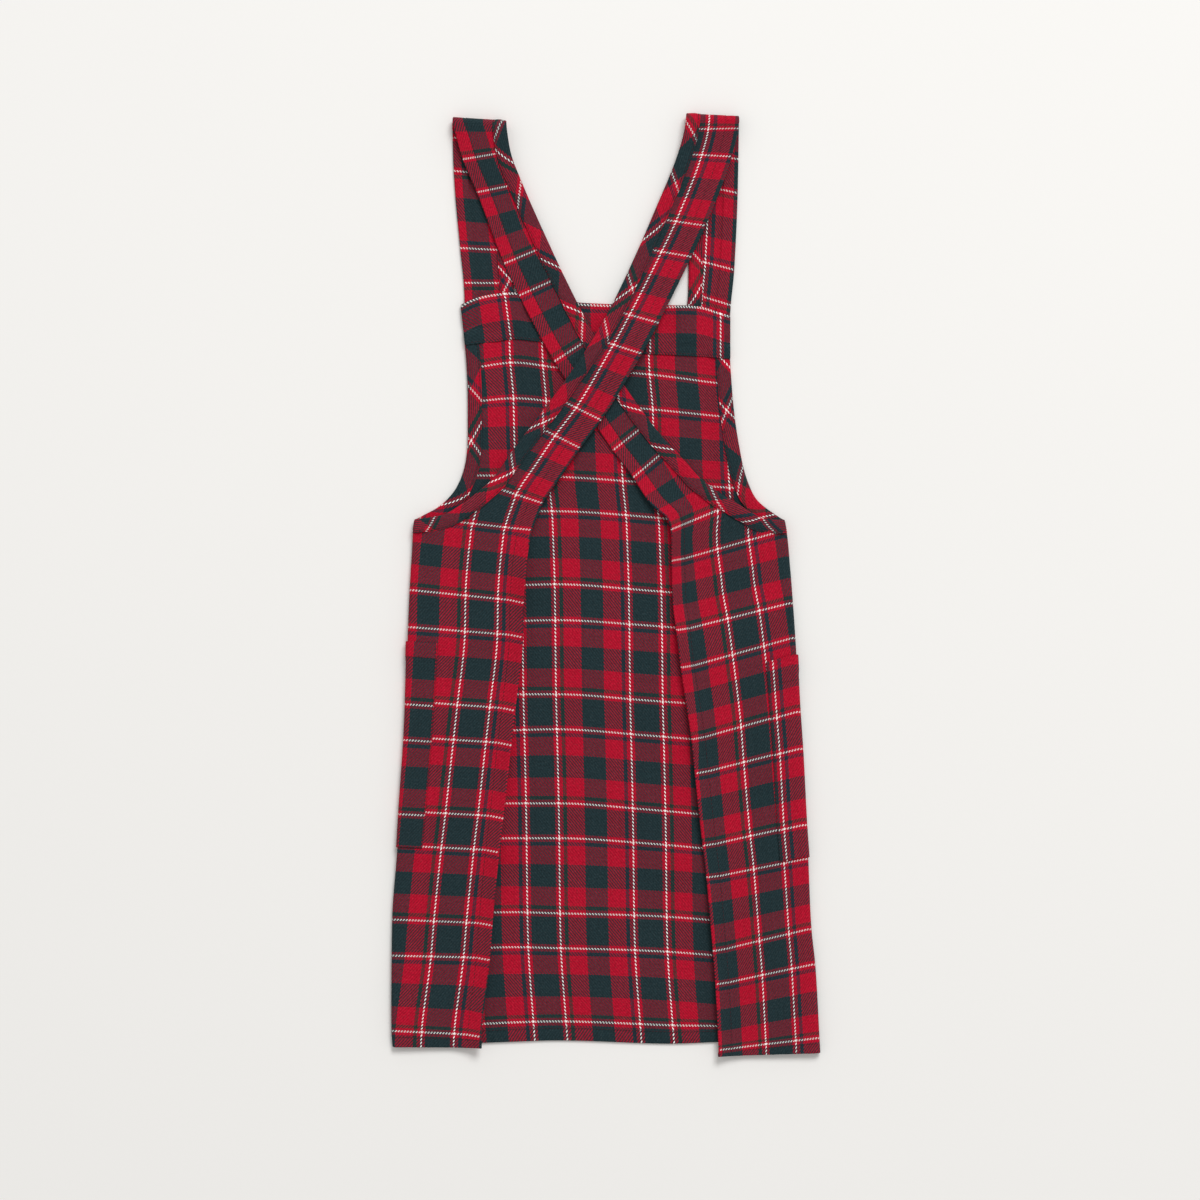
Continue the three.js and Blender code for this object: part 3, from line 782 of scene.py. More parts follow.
def strap_grid(side, first, first_uv, cloth):
    """A wing's upper end and its strap, from the skirt's top row over the shoulder down to the bib."""
    back, front = side.strap, side.front
    bound, edge = partial(section, back, "boundX boundY"), partial(section, back, "edgeX edgeY")
    rows = even_rows(back["v"][0], back["v"][-1], bound, edge)[1:]
    outer = section(back, "boundX boundY boundZ", rows)
    inner = section(back, "edgeX edgeY edgeZ", rows)
    front_rows = np.linspace(front["v"][0], front["v"][-1], round(np.ptp(front["v"]) / GRID_STEP) + 1)
    level = (cloth.front_height + STRAP_END_RISE * ramp(*STRAP_END, front_rows))[:, None]
    front_outer = np.hstack((section(front, "boundX boundY", front_rows), level))
    front_inner = np.hstack((section(front, "edgeX edgeY", front_rows), level))
    angle = math.pi * (0.5 - ARC_SHARES)
    radius = (outer[-1, 2] - cloth.front_height) / 2
    turn = np.stack((np.zeros_like(angle), radius * np.cos(angle), radius * (np.sin(angle) - 1)), -1)
    outer = np.concatenate((outer, outer[-1] + turn, front_outer))
    inner = np.concatenate((inner, inner[-1] + turn, front_inner))
    v = np.concatenate((rows, mix(rows[-1], front_rows[0], ARC_SHARES), front_rows))
    settle = ramp(side.corner, side.corner + NOSE_START, v)[:, None]
    outer = outer + unit(inner - outer) * cloth.binding_nose * settle
    on_strap = ramp(*CURL_FADE, v - side.corner)
    fade = mix(1, side.strap_curl, on_strap) * (1 - ramp(*SHOULDER_FADE, v))
    curl = edge_curl(inner[:, 0], inner[:, 1], cloth) * fade
    points, distance = wing_points(outer, inner, curl, cloth)
    u = wing_u(side, v, distance)
    uv = np.stack((u, np.broadcast_to(v[:, None], u.shape)), -1)
    first_length = np.linalg.norm((first[-1] - first[0])[:2])
    distance = np.concatenate((wing_spread(np.array([first_length])), distance))
    points = np.concatenate((first[None], points))
    uv = np.concatenate((first_uv[None], uv))
    return points, uv, *edge_faces(distance, cloth)


def body_cloth(cloth):
    """The body's cloth: skirt, bib, left strap and right strap."""
    body = Cloth().grid("skirt", *skirt_grid(cloth))
    skirt = body.grids["skirt"]
    body.grid("bib", *bib_grid(skirt, cloth), cloth.thickness / 2, cloth.thickness / 2)
    for side in SIDES:
        wing = COLUMNS[f"{side.name}_wing"]
        first, first_uv = (block[-1, wing][::side.inward] for block in (skirt.points, skirt.uv))
        blocks = strap_grid(side, first, first_uv, cloth)
        body.grid(f"{side.name}_strap", *(block[:, ::side.inward] for block in blocks))
    return body.weld()


# Shape of the facing

# Its rows up from the lower edge, its full depth, the step across, and its rolled top edge: steps, depth in
# thicknesses of cloth and how far the pattern goes on over it
FACING_STOPS = (0, 0.4, 1.2, 2.4, 4, 6, 8, 9, 9.6, *range(12, 34, 3))
FACING_DEPTH = 34.0
FACING_STEP = 2.6
ROLL_STEPS = 5
ROLL_THICKNESSES = 1.2
ROLL_V = 0.6

# Its turned lower edge, and how the strap ends and the ends of the bib's bindings under it raise it: the
# distances in which that ends, and the share of a layer's or a binding's height
FACING_TURN = (9, 9.6)
FACING_TURN_HEIGHT = 0.35
FACING_DIMPLE_WIDTH = 1.0
BESIDE_STRAP = (1, 9)
BELOW_STRAP_END = (2, 11)
STRAP_LAYERS = 2.4
BESIDE_BINDING = (11, 19)
OVER_BINDING_END = (7, 15)
BINDING_LAYERS = 1.3

# Its cloth: the v of its top, the X of a white warp line, how the strip and its pattern lean, and how the
# pattern is drawn together at the right end
FACING_V = 565.6
FACING_LINE_X = -47.0
FACING_LEAN = 3.2
FACING_LEAN_END = (-108, -80)
PATTERN_LEAN = 4.6
PATTERN_LEAN_END = (-60, 10)
PATTERN_DRAW = 0.085
PATTERN_DRAW_X = 52.0


def facing_edges(x):
    """Lower and upper edge of the facing at places across the bib."""
    return (smooth(FACING["x"], FACING[key], x) for key in ("lowY", "topY"))


def facing_lift(x, y, low, cloth):
    """How far the strap ends and the ends of the bib's bindings raise the facing off the bib."""
    lift = 0
    near, far = BESIDE_STRAP
    for side in SIDES:
        ends = side.front["boundX"][-1], side.front["edgeX"][-1]
        left, right = min(ends), max(ends)
        tip = (side.front["boundY"][-1] + side.front["edgeY"][-1]) / 2
        across = ramp(left - far, left - near, x) * (1 - ramp(right + near, right + far, x))
        along = 1 - ramp(*BELOW_STRAP_END, tip - y)
        lift = np.maximum(lift, across * along * cloth.layer * STRAP_LAYERS)
    ends = np.minimum(x - FACING["x"][0], FACING["x"][-1] - x)
    bindings = (1 - ramp(*BESIDE_BINDING, ends)) * (1 - ramp(*OVER_BINDING_END, y - low))
    return np.maximum(lift, bindings * cloth.binding_height * BINDING_LAYERS)


def facing_cloth(cloth):
    """The strip along the bib's top: its lower edge lies on the bib, its top edge rolls over it."""
    across = np.linspace(FACING["x"][0], FACING["x"][-1], round(np.ptp(FACING["x"]) / FACING_STEP) + 1)
    low, top = facing_edges(across)
    stops = np.array(FACING_STOPS) / FACING_DEPTH
    climb = stops[:, None]
    y = mix(low, top, climb)
    x = across + FACING_LEAN * (1 - climb) * (1 - ramp(*FACING_LEAN_END, across))
    z = panel_height(x, y, cloth) + cloth.layer + facing_lift(x, y, low, cloth)
    half = cloth.thickness / 2
    angle = np.linspace(0, math.pi / 2, ROLL_STEPS + 1)[1:, None]
    roll = cloth.thickness * ROLL_THICKNESSES
    drop = z[-1] - half - TABLE_GAP
    x = np.concatenate((x, np.broadcast_to(x[-1], (ROLL_STEPS, x.shape[1]))))
    y = np.concatenate((y, y[-1] + roll * np.sin(angle)))
    z = np.concatenate((z, z[-1] - drop * (1 - np.cos(angle))))
    climb = np.append(stops, np.ones(ROLL_STEPS))[:, None]
    v = np.minimum(FACING_V - (top - y), FACING_V + ROLL_V)
    u = x - FACING_LINE_X + LINE_U + PATTERN_LEAN * climb * (1 - ramp(*PATTERN_LEAN_END, x))
    u = u + PATTERN_DRAW * np.clip(x - PATTERN_DRAW_X, 0, None)
    up = climb * FACING_DEPTH
    dimple = cloth.dimple * bell(up, cloth.facing_stitch, FACING_DIMPLE_WIDTH)
    inside = half + FACING_TURN_HEIGHT * (1 - ramp(*FACING_TURN, up)) - dimple
    return Cloth().grid("facing", np.stack((x, y, z), -1), np.stack((u, v), -1), inside, half).weld()


# Shape of the pockets

# Rows close to a pocket's ends, in the skirt's rows, and columns as shares of the way to the side fold
POCKET_RIM = np.array((0.03, 0.1, 0.3))
POCKET_STOPS = np.append((0, 0.3, 1), np.linspace(2.5, 100, 20)) / 100

# Depth of its upper hem, and how far down it gapes and between which heights the gape starts
POCKET_HEM = 14.0
GAPE_STRETCH = 22.0
GAPE_HEIGHTS = (3, 5)


def resample(block, at):
    """Rows of a grid at places between them."""
    low = np.clip(np.floor(at).astype(int), 0, len(block) - 2)
    share = (at - low).reshape((-1,) + (1,) * (block.ndim - 1))
    return mix(block[low], block[low + 1], share)


def near_stretch(points, values, width):
    """The first stretch of a grid's rows, from a free edge so far in, back to its first column."""
    way = travel(points)
    at = width[:, None] * (1 - POCKET_STOPS)

    def picked(block):
        return np.array([np.interp(*row) for row in zip(at, way, block)])

    return np.stack([picked(points[..., k]) for k in range(3)], -1), picked(values)


def pocket_rows(side, fold_y):
    """Places of a pocket's rows between the skirt's, close together at its ends."""
    low, high = np.interp((side.pocket_low, side.pocket_high), fold_y, np.arange(len(fold_y)))
    even = np.linspace(low, high, round(high - low))
    return np.concatenate((
        even[:1], low + POCKET_RIM, even[1:-1], high - POCKET_RIM[::-1], even[-1:]))


def pocket_cloth(side, body, cloth):
    """A patch pocket on the body's outside: under the panel, round the side fold and onto the wing."""
    skirt = body.grids["skirt"]
    wing, arc = COLUMNS[f"{side.name}_wing"], COLUMNS[f"{side.name}_arc"]
    at = pocket_rows(side, skirt.points[:, arc][:, ::side.inward][:, 0, 1])
    climb = (at - at[0]) / (at[-1] - at[0])

    def under_skirt(columns):
        points, normals, uv = (
            resample(block[:, columns][:, ::side.inward], at)
            for block in (skirt.points, skirt.normals, skirt.uv))
        return points - (cloth.layer + LAYER_GAP) * normals, uv[..., 1]

    inset = cloth.fold_radius + cloth.thickness / 2
    width = mix(side.pocket_low_width, side.pocket_high_width, climb) - inset
    on_wing = near_stretch(*(block[:, ::-1] for block in under_skirt(wing)), width)
    round_fold = under_skirt(arc)
    on_panel = near_stretch(*under_skirt(COLUMNS["panel"]), np.full(len(at), POCKET_UNDER))
    points, v = (
        np.concatenate((near, fold[:, 1:-1], far[:, ::-1]), 1)
        for near, fold, far in zip(on_wing, round_fold, on_panel))
    u = side.pocket_u + side.inward * travel(points)
    from_top = ((1 - climb) * (side.pocket_high - side.pocket_low))[:, None]
    gape = cloth.pocket_gape * bell(from_top, 0, GAPE_STRETCH)
    points[..., 2] += gape * ramp(*GAPE_HEIGHTS, points[..., 2])
    half = cloth.thickness / 2
    turned = (1 - ramp(POCKET_HEM, POCKET_HEM + TURN_END, from_top)) * cloth.pocket_hem
    uv = np.stack((u, v + side.pocket_rise), -1)
    blocks = points, uv, np.full(u.shape, half), np.broadcast_to(half + turned, u.shape)
    return Cloth().grid("pocket", *(block[:, ::side.inward] for block in blocks)).weld()


# Shape of the bindings

# Steps along the tape, passes that ease its corners, and how far its ends are tucked under the facing
TAPE_STEP = 2.2
EASE_PASSES = 3
BINDING_TUCK = 6.0

# Section of the tape: shares of its width and height along a leg, from the leg's end, and round the nose,
# the gap in the slit that the cloth lies in, and where the slit ends
LEG_SHARES = np.array((0, 0.5, 1.3, 2.6, 4.4, 6.4, 8.4)) / 9.6
LEG_HEIGHTS = np.array((0.82, 0.92, 0.7, 0.98, BINDING_PUFF, 1.02, 0.94))
NOSE = ((0.62, 0.8), (1, 0.42), (1.08, 0), (1, -0.42), (0.62, -0.8))
SLIT_GAP = 0.04
SLIT_END = -0.1

# Its puckers as a share of the height, dragged along and drawn out across, the wave of the legs' ends, and
# the share of the height that the tucked ends keep
PUCKER = 0.09
PUCKER_DRAG = 0.8
PUCKER_DRAW = 0.6
PUCKER_WAVES = (5.3, 7.9, 13), 31
LEG_END = -6.0
LEG_END_WAVE = 0.35
LEG_END_WAVES = (11, 17, 29), 17
TUCKED_HEIGHT = 0.7
TUCKED_STRETCH = (3, 10)

# Along the tape: where it is eased, from the armhole's corner, and where the strap's front stretch ends
CORNER_EASE = (-35, 30)
FRONT_END = (60, 130)


def bound_edge(side, body):
    """The cloth edge that a binding follows, from the strap's end to the bib's top, with normals."""
    strap, skirt, bib = (body.grids[name] for name in (f"{side.name}_strap", "skirt", "bib"))
    on_strap, on_bib = (-1, 0) if side is LEFT else (0, -1)
    arc = COLUMNS[f"{side.name}_arc"]
    points, normals = (
        np.concatenate((
            getattr(strap, key)[1:, on_strap][::-1],
            getattr(skirt, key)[-1, arc][::side.inward],
            getattr(bib, key)[1:, on_bib]))
        for key in ("points", "normals"))
    low, top = facing_edges(points[:, 0])
    first = np.argmax(points[:, 1] > top - BINDING_TUCK)
    last = len(points) - np.argmax((points[:, 1] < low + BINDING_TUCK)[::-1])
    return even_path(points[first:last], normals[first:last])


def even_path(points, normals):
    """A path with points at even steps, its corners eased: points, normals and the way along it."""
    way = travel(points)
    at = np.linspace(0, way[-1], round(way[-1] / TAPE_STEP) + 1)
    both = np.hstack((points, normals))
    both = np.stack([np.interp(at, way, column) for column in both.T], -1)
    for _ in range(EASE_PASSES):
        both[1:-1] = (both[:-2] + 2 * both[1:-1] + both[2:]) / 4
    return both[:, :3], unit(both[:, 3:]), at


def path_frame(side, points, normals):
    """Ways out of the cloth and up from it along a bound edge."""
    along = unit(np.gradient(points, axis=0))
    up = unit(normals - along * np.sum(normals * along, 1, keepdims=True))
    return np.cross(up, along) * side.inward, up


def binding_section(cloth):
    """The binding's section as a U, out from the cloth's edge and up from its middle, and its slit."""
    width, tall = cloth.binding_width - cloth.binding_nose, cloth.binding_height
    top = list(zip(LEG_SHARES * width - width, LEG_HEIGHTS * tall))
    nose = [(out * cloth.binding_nose, up * tall) for out, up in NOSE]
    bottom = [(out, -up) for out, up in reversed(top)]
    gap = cloth.thickness / 2 + SLIT_GAP
    slit = [(-width, -gap), (SLIT_END, -gap), (SLIT_END, gap), (-width, gap)]
    return np.array(top + nose + bottom), np.array(slit)


def binding_uv(side, points, at, from_nose):
    """Cloth coordinates of the tape, which is cut on the bias and pulled long, so its yarns slant."""
    along = at[:, None]
    corner = at[np.argmax(np.abs(points[:, 0]))]
    eased = ramp(*CORNER_EASE, along - corner)
    front = 1 - ramp(*FRONT_END, along)
    warp, weft = math.radians(side.warp_slant), math.radians(side.weft_slant)
    on_warp = along + side.warp_ease * eased - side.warp_front * front - side.warp_green_at
    on_weft = along + side.weft_ease * eased - side.weft_front * front - side.weft_green_at
    u = on_warp * math.sin(warp) + from_nose * math.cos(warp)
    v = from_nose * math.cos(weft) - on_weft * math.sin(weft) + PHASE_V
    return np.stack((u, v), -1)


def binding_faces(rings, outer, size):
    """Quads round a swept section, and caps on the upper leg, the lower leg and the nose at its ends."""
    ring, point = np.meshgrid(np.arange(rings - 1) * size, np.arange(size), indexing="ij")
    after = (point + 1) % size
    quads = np.stack((ring + point, ring + after, ring + size + after, ring + size + point), -1)
    faces = quads.reshape(-1, 4).tolist()
    tip = outer // 2
    caps = (
        [*range(tip + 1), outer + 2, outer + 3],
        [*range(tip, outer), outer, outer + 1],
        [tip, outer + 1, outer + 2],
    )
    last = (rings - 1) * size
    for cap in caps:
        faces.append(cap[::-1])
        faces.append([last + n for n in cap])
    return faces


def binding_mesh(name, side, body, cloth):
    """The bias binding round one armhole and strap, swept along the bound edge."""
    points, normals, at = bound_edge(side, body)
    out, up = path_frame(side, points, normals)
    outer, slit = binding_section(cloth)
    shape = np.concatenate((outer, slit))
    across = travel(outer)
    along = at[:, None]
    pucker = np.zeros((len(at), len(shape)))
    pucker[:, :len(outer)] = PUCKER * waves(
        along + PUCKER_DRAG * across, across * PUCKER_DRAW, *PUCKER_WAVES)
    wave = LEG_END_WAVE * waves(along, 0, *LEG_END_WAVES)
    sideways = shape[:, 0] + wave * (shape[:, 0] < LEG_END)
    from_end = np.minimum(along, at[-1] - along)
    height = shape[:, 1] * (1 + pucker) * mix(TUCKED_HEIGHT, 1, ramp(*TUCKED_STRETCH, from_end))
    rings = points[:, None, :] + out[:, None, :] * sideways[..., None] + up[:, None, :] * height[..., None]
    rings[..., 2] = np.maximum(rings[..., 2], LOWEST)
    leg = len(LEG_SHARES)
    in_slit = np.interp(slit[:, 0], outer[:leg, 0], across[:leg])
    from_nose = np.append(across, in_slit) - across[-1] / 2
    uv = binding_uv(side, points, at, from_nose)
    faces = binding_faces(len(at), len(outer), len(shape))
    return cloth_mesh(name, rings.reshape(-1, 3), faces, uv.reshape(-1, 2)[np.concatenate(faces)])


# Materials

class Nodes:
    """Short ways to make a material from shader nodes."""

    def __init__(self, name):
        self.material = bpy.data.materials.get(name) or bpy.data.materials.new(name)
        self.material.use_nodes = True
        self.tree = self.material.node_tree
        self.tree.nodes.clear()

    def add(self, kind, **values):
        """A new node."""
        node = self.tree.nodes.new(kind)
        for key, value in values.items():
            setattr(node, key, value)
        return node

    def put(self, value, socket):
        """Sets a socket to a number or a colour, or joins it to the output of another node."""
        if isinstance(value, (int, float)):
            socket.default_value = value
        elif isinstance(value, tuple):
            socket.default_value = (*value, 1)
        else:
            self.tree.links.new(value, socket)

    def math(self, operation, *inputs):
        """One step of arithmetic."""
        node = self.add("ShaderNodeMath", operation=operation)
        for value, socket in zip(inputs, node.inputs):
            self.put(value, socket)
        return node.outputs[0]

    def colour(self, blend, factor, a, b):
        """Two colours blended."""
        node = self.add("ShaderNodeMix", data_type="RGBA", blend_type=blend)
        # The node's colour sockets come after those for numbers and vectors
        for value, index in ((factor, 0), (a, 6), (b, 7)):
            self.put(value, node.inputs[index])
        return node.outputs[2]

    def channels(self, colour):
        """Red, green and blue of a colour."""
        node = self.add("ShaderNodeSeparateColor")
        self.put(colour, node.inputs[0])
        return node.outputs

    def combined(self, red, green, blue):
        """A colour from its red, green and blue."""
        node = self.add("ShaderNodeCombineColor")
        for value, socket in zip((red, green, blue), node.inputs):
            self.put(value, socket)
        return node.outputs[0]

    def toned(self, colour, value, amount, even=0.5):
        """A colour that gets lighter by an amount as a value goes from 0 to 1, and is itself at even."""
        tone = self.math("MULTIPLY_ADD", value, amount, 1 - amount * even)
        return self.colour("MULTIPLY", 1.0, colour, self.combined(tone, tone, tone))

    def noise(self, vector, scale, detail=2):
        """Soft noise from 0 to 1."""
        node = self.add("ShaderNodeTexNoise")
        node.inputs["Scale"].default_value = scale
        node.inputs["Detail"].default_value = detail
        self.put(vector, node.inputs["Vector"])
        return node.outputs[0]

    def surface(self, values):
        """The material, with these values on its surface shader."""
        shader = self.add("ShaderNodeBsdfPrincipled")
        for name, value in values.items():
            self.put(value, shader.inputs[name])
        output = self.add("ShaderNodeOutputMaterial")
        self.put(shader.outputs[0], output.inputs[0])
        return self.material


# Yarns of half the tartan's repeat, from the middle of its broad green stripe to the middle of the
# next one. The other half mirrors it, with navy in place of moss.
WARP_HALF = (
    ("green", 17), ("red", 4), ("white", 2), ("red", 5), ("moss", 5), ("red", 24), ("green", 15))
WEFT_HALF = (
    ("green", 15), ("red", 3), ("white", 2), ("red", 3), ("moss", 4), ("red", 20), ("green", 12))

# Seeds of the yarns' uneven tones, yarns that a float passes over, and how round yarns and floats are
WARP_SEED = 7.0
WEFT_SEED = 19.0
FLOAT = 2.0
YARN_ROUNDNESS = 2.0
FLOAT_ROUNDNESS = 4.0

# How much less a white yarn is tinted, the height at which the painted shade and light of the yarns' relief
# leave the tone as it is, the scale of the lint flecks, which also paint sheen on the fuzz, against slubs
# and where they start, the noise's detail, and the bump of yarns with fuzz on them
WHITE_COVER = 0.38
EVEN_HEIGHT = 0.62
LINT_AND_SHEEN_SCALE = 1.3
LINT_AND_SHEEN_FROM = 0.52
CLOTH_DETAIL = 3
FUZZ_SCALE = 2600
FUZZ_SHARE = 0.5
YARN_BUMP = 0.55
YARN_HEIGHT = 0.12


def yarn_colour(nodes, index, half, seed, tartan):
    """Colour of the yarn with this number in the repeat, uneven from yarn to yarn."""
    size = sum(count for _, count in half)
    number = nodes.math("FLOORED_MODULO", index, 2.0 * size)
    mirrored = nodes.math("SUBTRACT", 2.0 * size - 1, number)
    near = nodes.math("MINIMUM", number, mirrored)
    place_in_half = nodes.math("DIVIDE", nodes.math("ADD", near, 0.5), float(size))
    halves = []
    for swaps in ({}, {"moss": "navy"}):
        node = nodes.add("ShaderNodeValToRGB")
        node.color_ramp.interpolation = "CONSTANT"
        stops = node.color_ramp.elements
        start = 0
        for n, (name, count) in enumerate(half):
            stop = stops[n] if n < 2 else stops.new(start / size)
            stop.position = start / size
            stop.color = (*getattr(tartan, swaps.get(name, name)), 1)
            start += count
        nodes.put(place_in_half, node.inputs[0])
        halves.append(node.outputs[0])
    colour = nodes.colour("MIX", nodes.math("GREATER_THAN", number, size - 0.5), *halves)
    uneven = nodes.add("ShaderNodeTexWhiteNoise", noise_dimensions="1D")
    nodes.put(nodes.math("ADD", index, seed), uneven.inputs["W"])
    return nodes.toned(colour, uneven.outputs[0], tartan.uneven)


def float_height(nodes, end_side, pick_side, step, warp_up):
    """Height of the yarn on top: round across the yarn, and bowed along its float."""
    warp_run = nodes.math("DIVIDE", nodes.math("ADD", step, pick_side), FLOAT)
    weft_step = nodes.math("SUBTRACT", step, FLOAT)
    weft_run = nodes.math("DIVIDE", nodes.math("ADD", weft_step, end_side), FLOAT)
    heights = []
    for weft, warp, roundness in (
            (pick_side, end_side, YARN_ROUNDNESS), (weft_run, warp_run, FLOAT_ROUNDNESS)):
        place_on_top = nodes.colour(
            "MIX", warp_up, nodes.combined(weft, weft, weft), nodes.combined(warp, warp, warp))
        from_middle = nodes.math("MULTIPLY_ADD", nodes.channels(place_on_top)[0], 2.0, -1.0)
        fall = nodes.math("POWER", nodes.math("ABSOLUTE", from_middle), roundness)
        heights.append(nodes.math("SUBTRACT", 1.0, fall))
    return nodes.math("MULTIPLY", *heights)


def tinted_yarn(nodes, above, below, warp_up, height, tartan):
    """The yarn on top, tinted at its thin edges by the one below, least so on plump white yarns."""
    top, under = nodes.channels(above), nodes.channels(below)
    bleed = nodes.math("MULTIPLY_ADD", warp_up, tartan.warp_bleed - tartan.weft_bleed, tartan.weft_bleed)
    through = nodes.math("MULTIPLY", nodes.math("SUBTRACT", 1.0, height), bleed)
    through = nodes.math("MULTIPLY", through, nodes.math("MULTIPLY_ADD", top[1], -WHITE_COVER, 1.0))
    # A coloured yarn only loses red to the yarn below, a white one takes on all of its colour
    red_only = nodes.combined(under[0], 1.0, 1.0)
    stain = nodes.colour("MIX", top[1], red_only, below)
    yarn = nodes.colour("DARKEN", through, above, stain)
    palest = nodes.math("MAXIMUM", top[1], under[1])
    mingled = nodes.math("MULTIPLY_ADD", palest, -tartan.blend, tartan.blend)
    return nodes.colour("MIX", mingled, yarn, below)


def twill(nodes, coordinate, tartan):
    """Colour of the weave, with painted light on its warp floats and painted shade on its weft floats, and
    its height, two over and two under.
    """
    split = nodes.add("ShaderNodeSeparateXYZ")
    nodes.put(coordinate, split.inputs[0])
    ends = nodes.math("DIVIDE", split.outputs[0], tartan.end_pitch)
    from_green = nodes.math("SUBTRACT", split.outputs[1], PHASE_V * MM)
    picks = nodes.math("DIVIDE", from_green, tartan.pick_pitch)
    end, pick = nodes.math("FLOOR", ends), nodes.math("FLOOR", picks)
    end_side, pick_side = nodes.math("FRACT", ends), nodes.math("FRACT", picks)
    step = nodes.math("FLOORED_MODULO", nodes.math("ADD", end, pick), 2 * FLOAT)
    warp_up = nodes.math("LESS_THAN", step, FLOAT - 0.5)
    height = float_height(nodes, end_side, pick_side, step, warp_up)
    warp = yarn_colour(nodes, end, WARP_HALF, WARP_SEED, tartan)
    weft = yarn_colour(nodes, pick, WEFT_HALF, WEFT_SEED, tartan)
    above = nodes.colour("MIX", warp_up, weft, warp)
    below = nodes.colour("MIX", warp_up, warp, weft)
    colour = tinted_yarn(nodes, above, below, warp_up, height, tartan)
    # Warp floats get painted light and weft floats painted shade, as light falls differently on yarns
    # running each way
    return nodes.toned(colour, warp_up, 2 * tartan.float_painted_shading), height


def tartan_material(tartan):
    """Tartan twill, read from the cloth's own coordinates."""
    nodes = Nodes("tartan_twill")
    cloth = nodes.add("ShaderNodeUVMap", uv_map="cloth").outputs[0]
    where = nodes.add("ShaderNodeTexCoord").outputs["Object"]
    woven, height = twill(nodes, cloth, tartan)
    woven = nodes.toned(woven, nodes.noise(cloth, tartan.slub_scale, CLOTH_DETAIL), tartan.slub)
    # Pale lint flecks, partly real fibres and partly painted sheen on the fuzz
    lint_and_sheen = nodes.math("SUBTRACT", nodes.noise(cloth, tartan.slub_scale * LINT_AND_SHEEN_SCALE), LINT_AND_SHEEN_FROM)
    fleck_and_sheen = nodes.math("MULTIPLY", nodes.math("MAXIMUM", lint_and_sheen, 0.0), tartan.lint_and_sheen)
    woven = nodes.colour("ADD", 1.0, woven, nodes.combined(fleck_and_sheen, fleck_and_sheen, fleck_and_sheen))
    # Painted shade between the yarns and painted light on the tops of their floats
    woven = nodes.toned(woven, height, tartan.yarn_shade, EVEN_HEIGHT)
    woven = nodes.toned(woven, nodes.noise(where, tartan.fade_scale, CLOTH_DETAIL), tartan.fade)
    fuzz = nodes.noise(where, FUZZ_SCALE)
    bump = nodes.add("ShaderNodeBump")
    bump.inputs["Strength"].default_value = YARN_BUMP
    bump.inputs["Distance"].default_value = YARN_HEIGHT * MM
    nodes.put(nodes.math("MULTIPLY_ADD", fuzz, FUZZ_SHARE, height), bump.inputs["Height"])
    return nodes.surface({
        "Base Color": woven,
        "Roughness": 0.88,
        "Specular IOR Level": 0.05,
        "Sheen Weight": 0.03,
        "Sheen Roughness": 0.6,
        "Normal": bump.outputs[0],
    })


def mottled_material(name, colour, darkest, scale, roughness, specular):
    """A material that drifts between a colour and its darkest share."""
    nodes = Nodes(name)
    where = nodes.add("ShaderNodeTexCoord").outputs["Object"]
    dark = tuple(darkest * c for c in colour)
    return nodes.surface({
        "Base Color": nodes.colour("MIX", nodes.noise(where, scale), dark, tuple(colour)),
        "Roughness": roughness,
        "Specular IOR Level": specular,
    })


def thread_material(thread):
    """Sewing thread, twisted, with painted highlights where the ply turns up, laid on as random mottling.
    """
    return mottled_material(
        "sewing_thread", thread.colour, darkest=0.55, scale=1800, roughness=0.7, specular=0.3)


def floor_material(stage):
    """Pale matt paper with a trace of mottling."""
    return mottled_material(
        "pale_paper", stage.floor_colour, darkest=0.985, scale=3, roughness=0.9, specular=0.1)


# Stitching

# How far a stitch's middle lies over the cloth, as a share of its width, and its bead's segments and rings
STITCH_LIFT = 0.22
BEAD_SEGMENTS = 6
BEAD_RINGS = 5

# Where the seams run: how far inside the binding's edge and at which share of its height, in the facing's
# rows and columns, in a pocket's columns from its sides and rows from its foot and top, and how far below
# its top its hem is stitched, as measured in one column
BINDING_STITCH = 1.3
BINDING_STITCH_HEIGHT = 0.86
FACING_SEAM_ROW = 2
FACING_SEAM_IN = 2
POCKET_SEAM_IN = 3
POCKET_SEAM_FOOT = 2
POCKET_SEAM_TOP = 4
POCKET_HEM_STITCH = 13.0
POCKET_HEM_COLUMN = 8


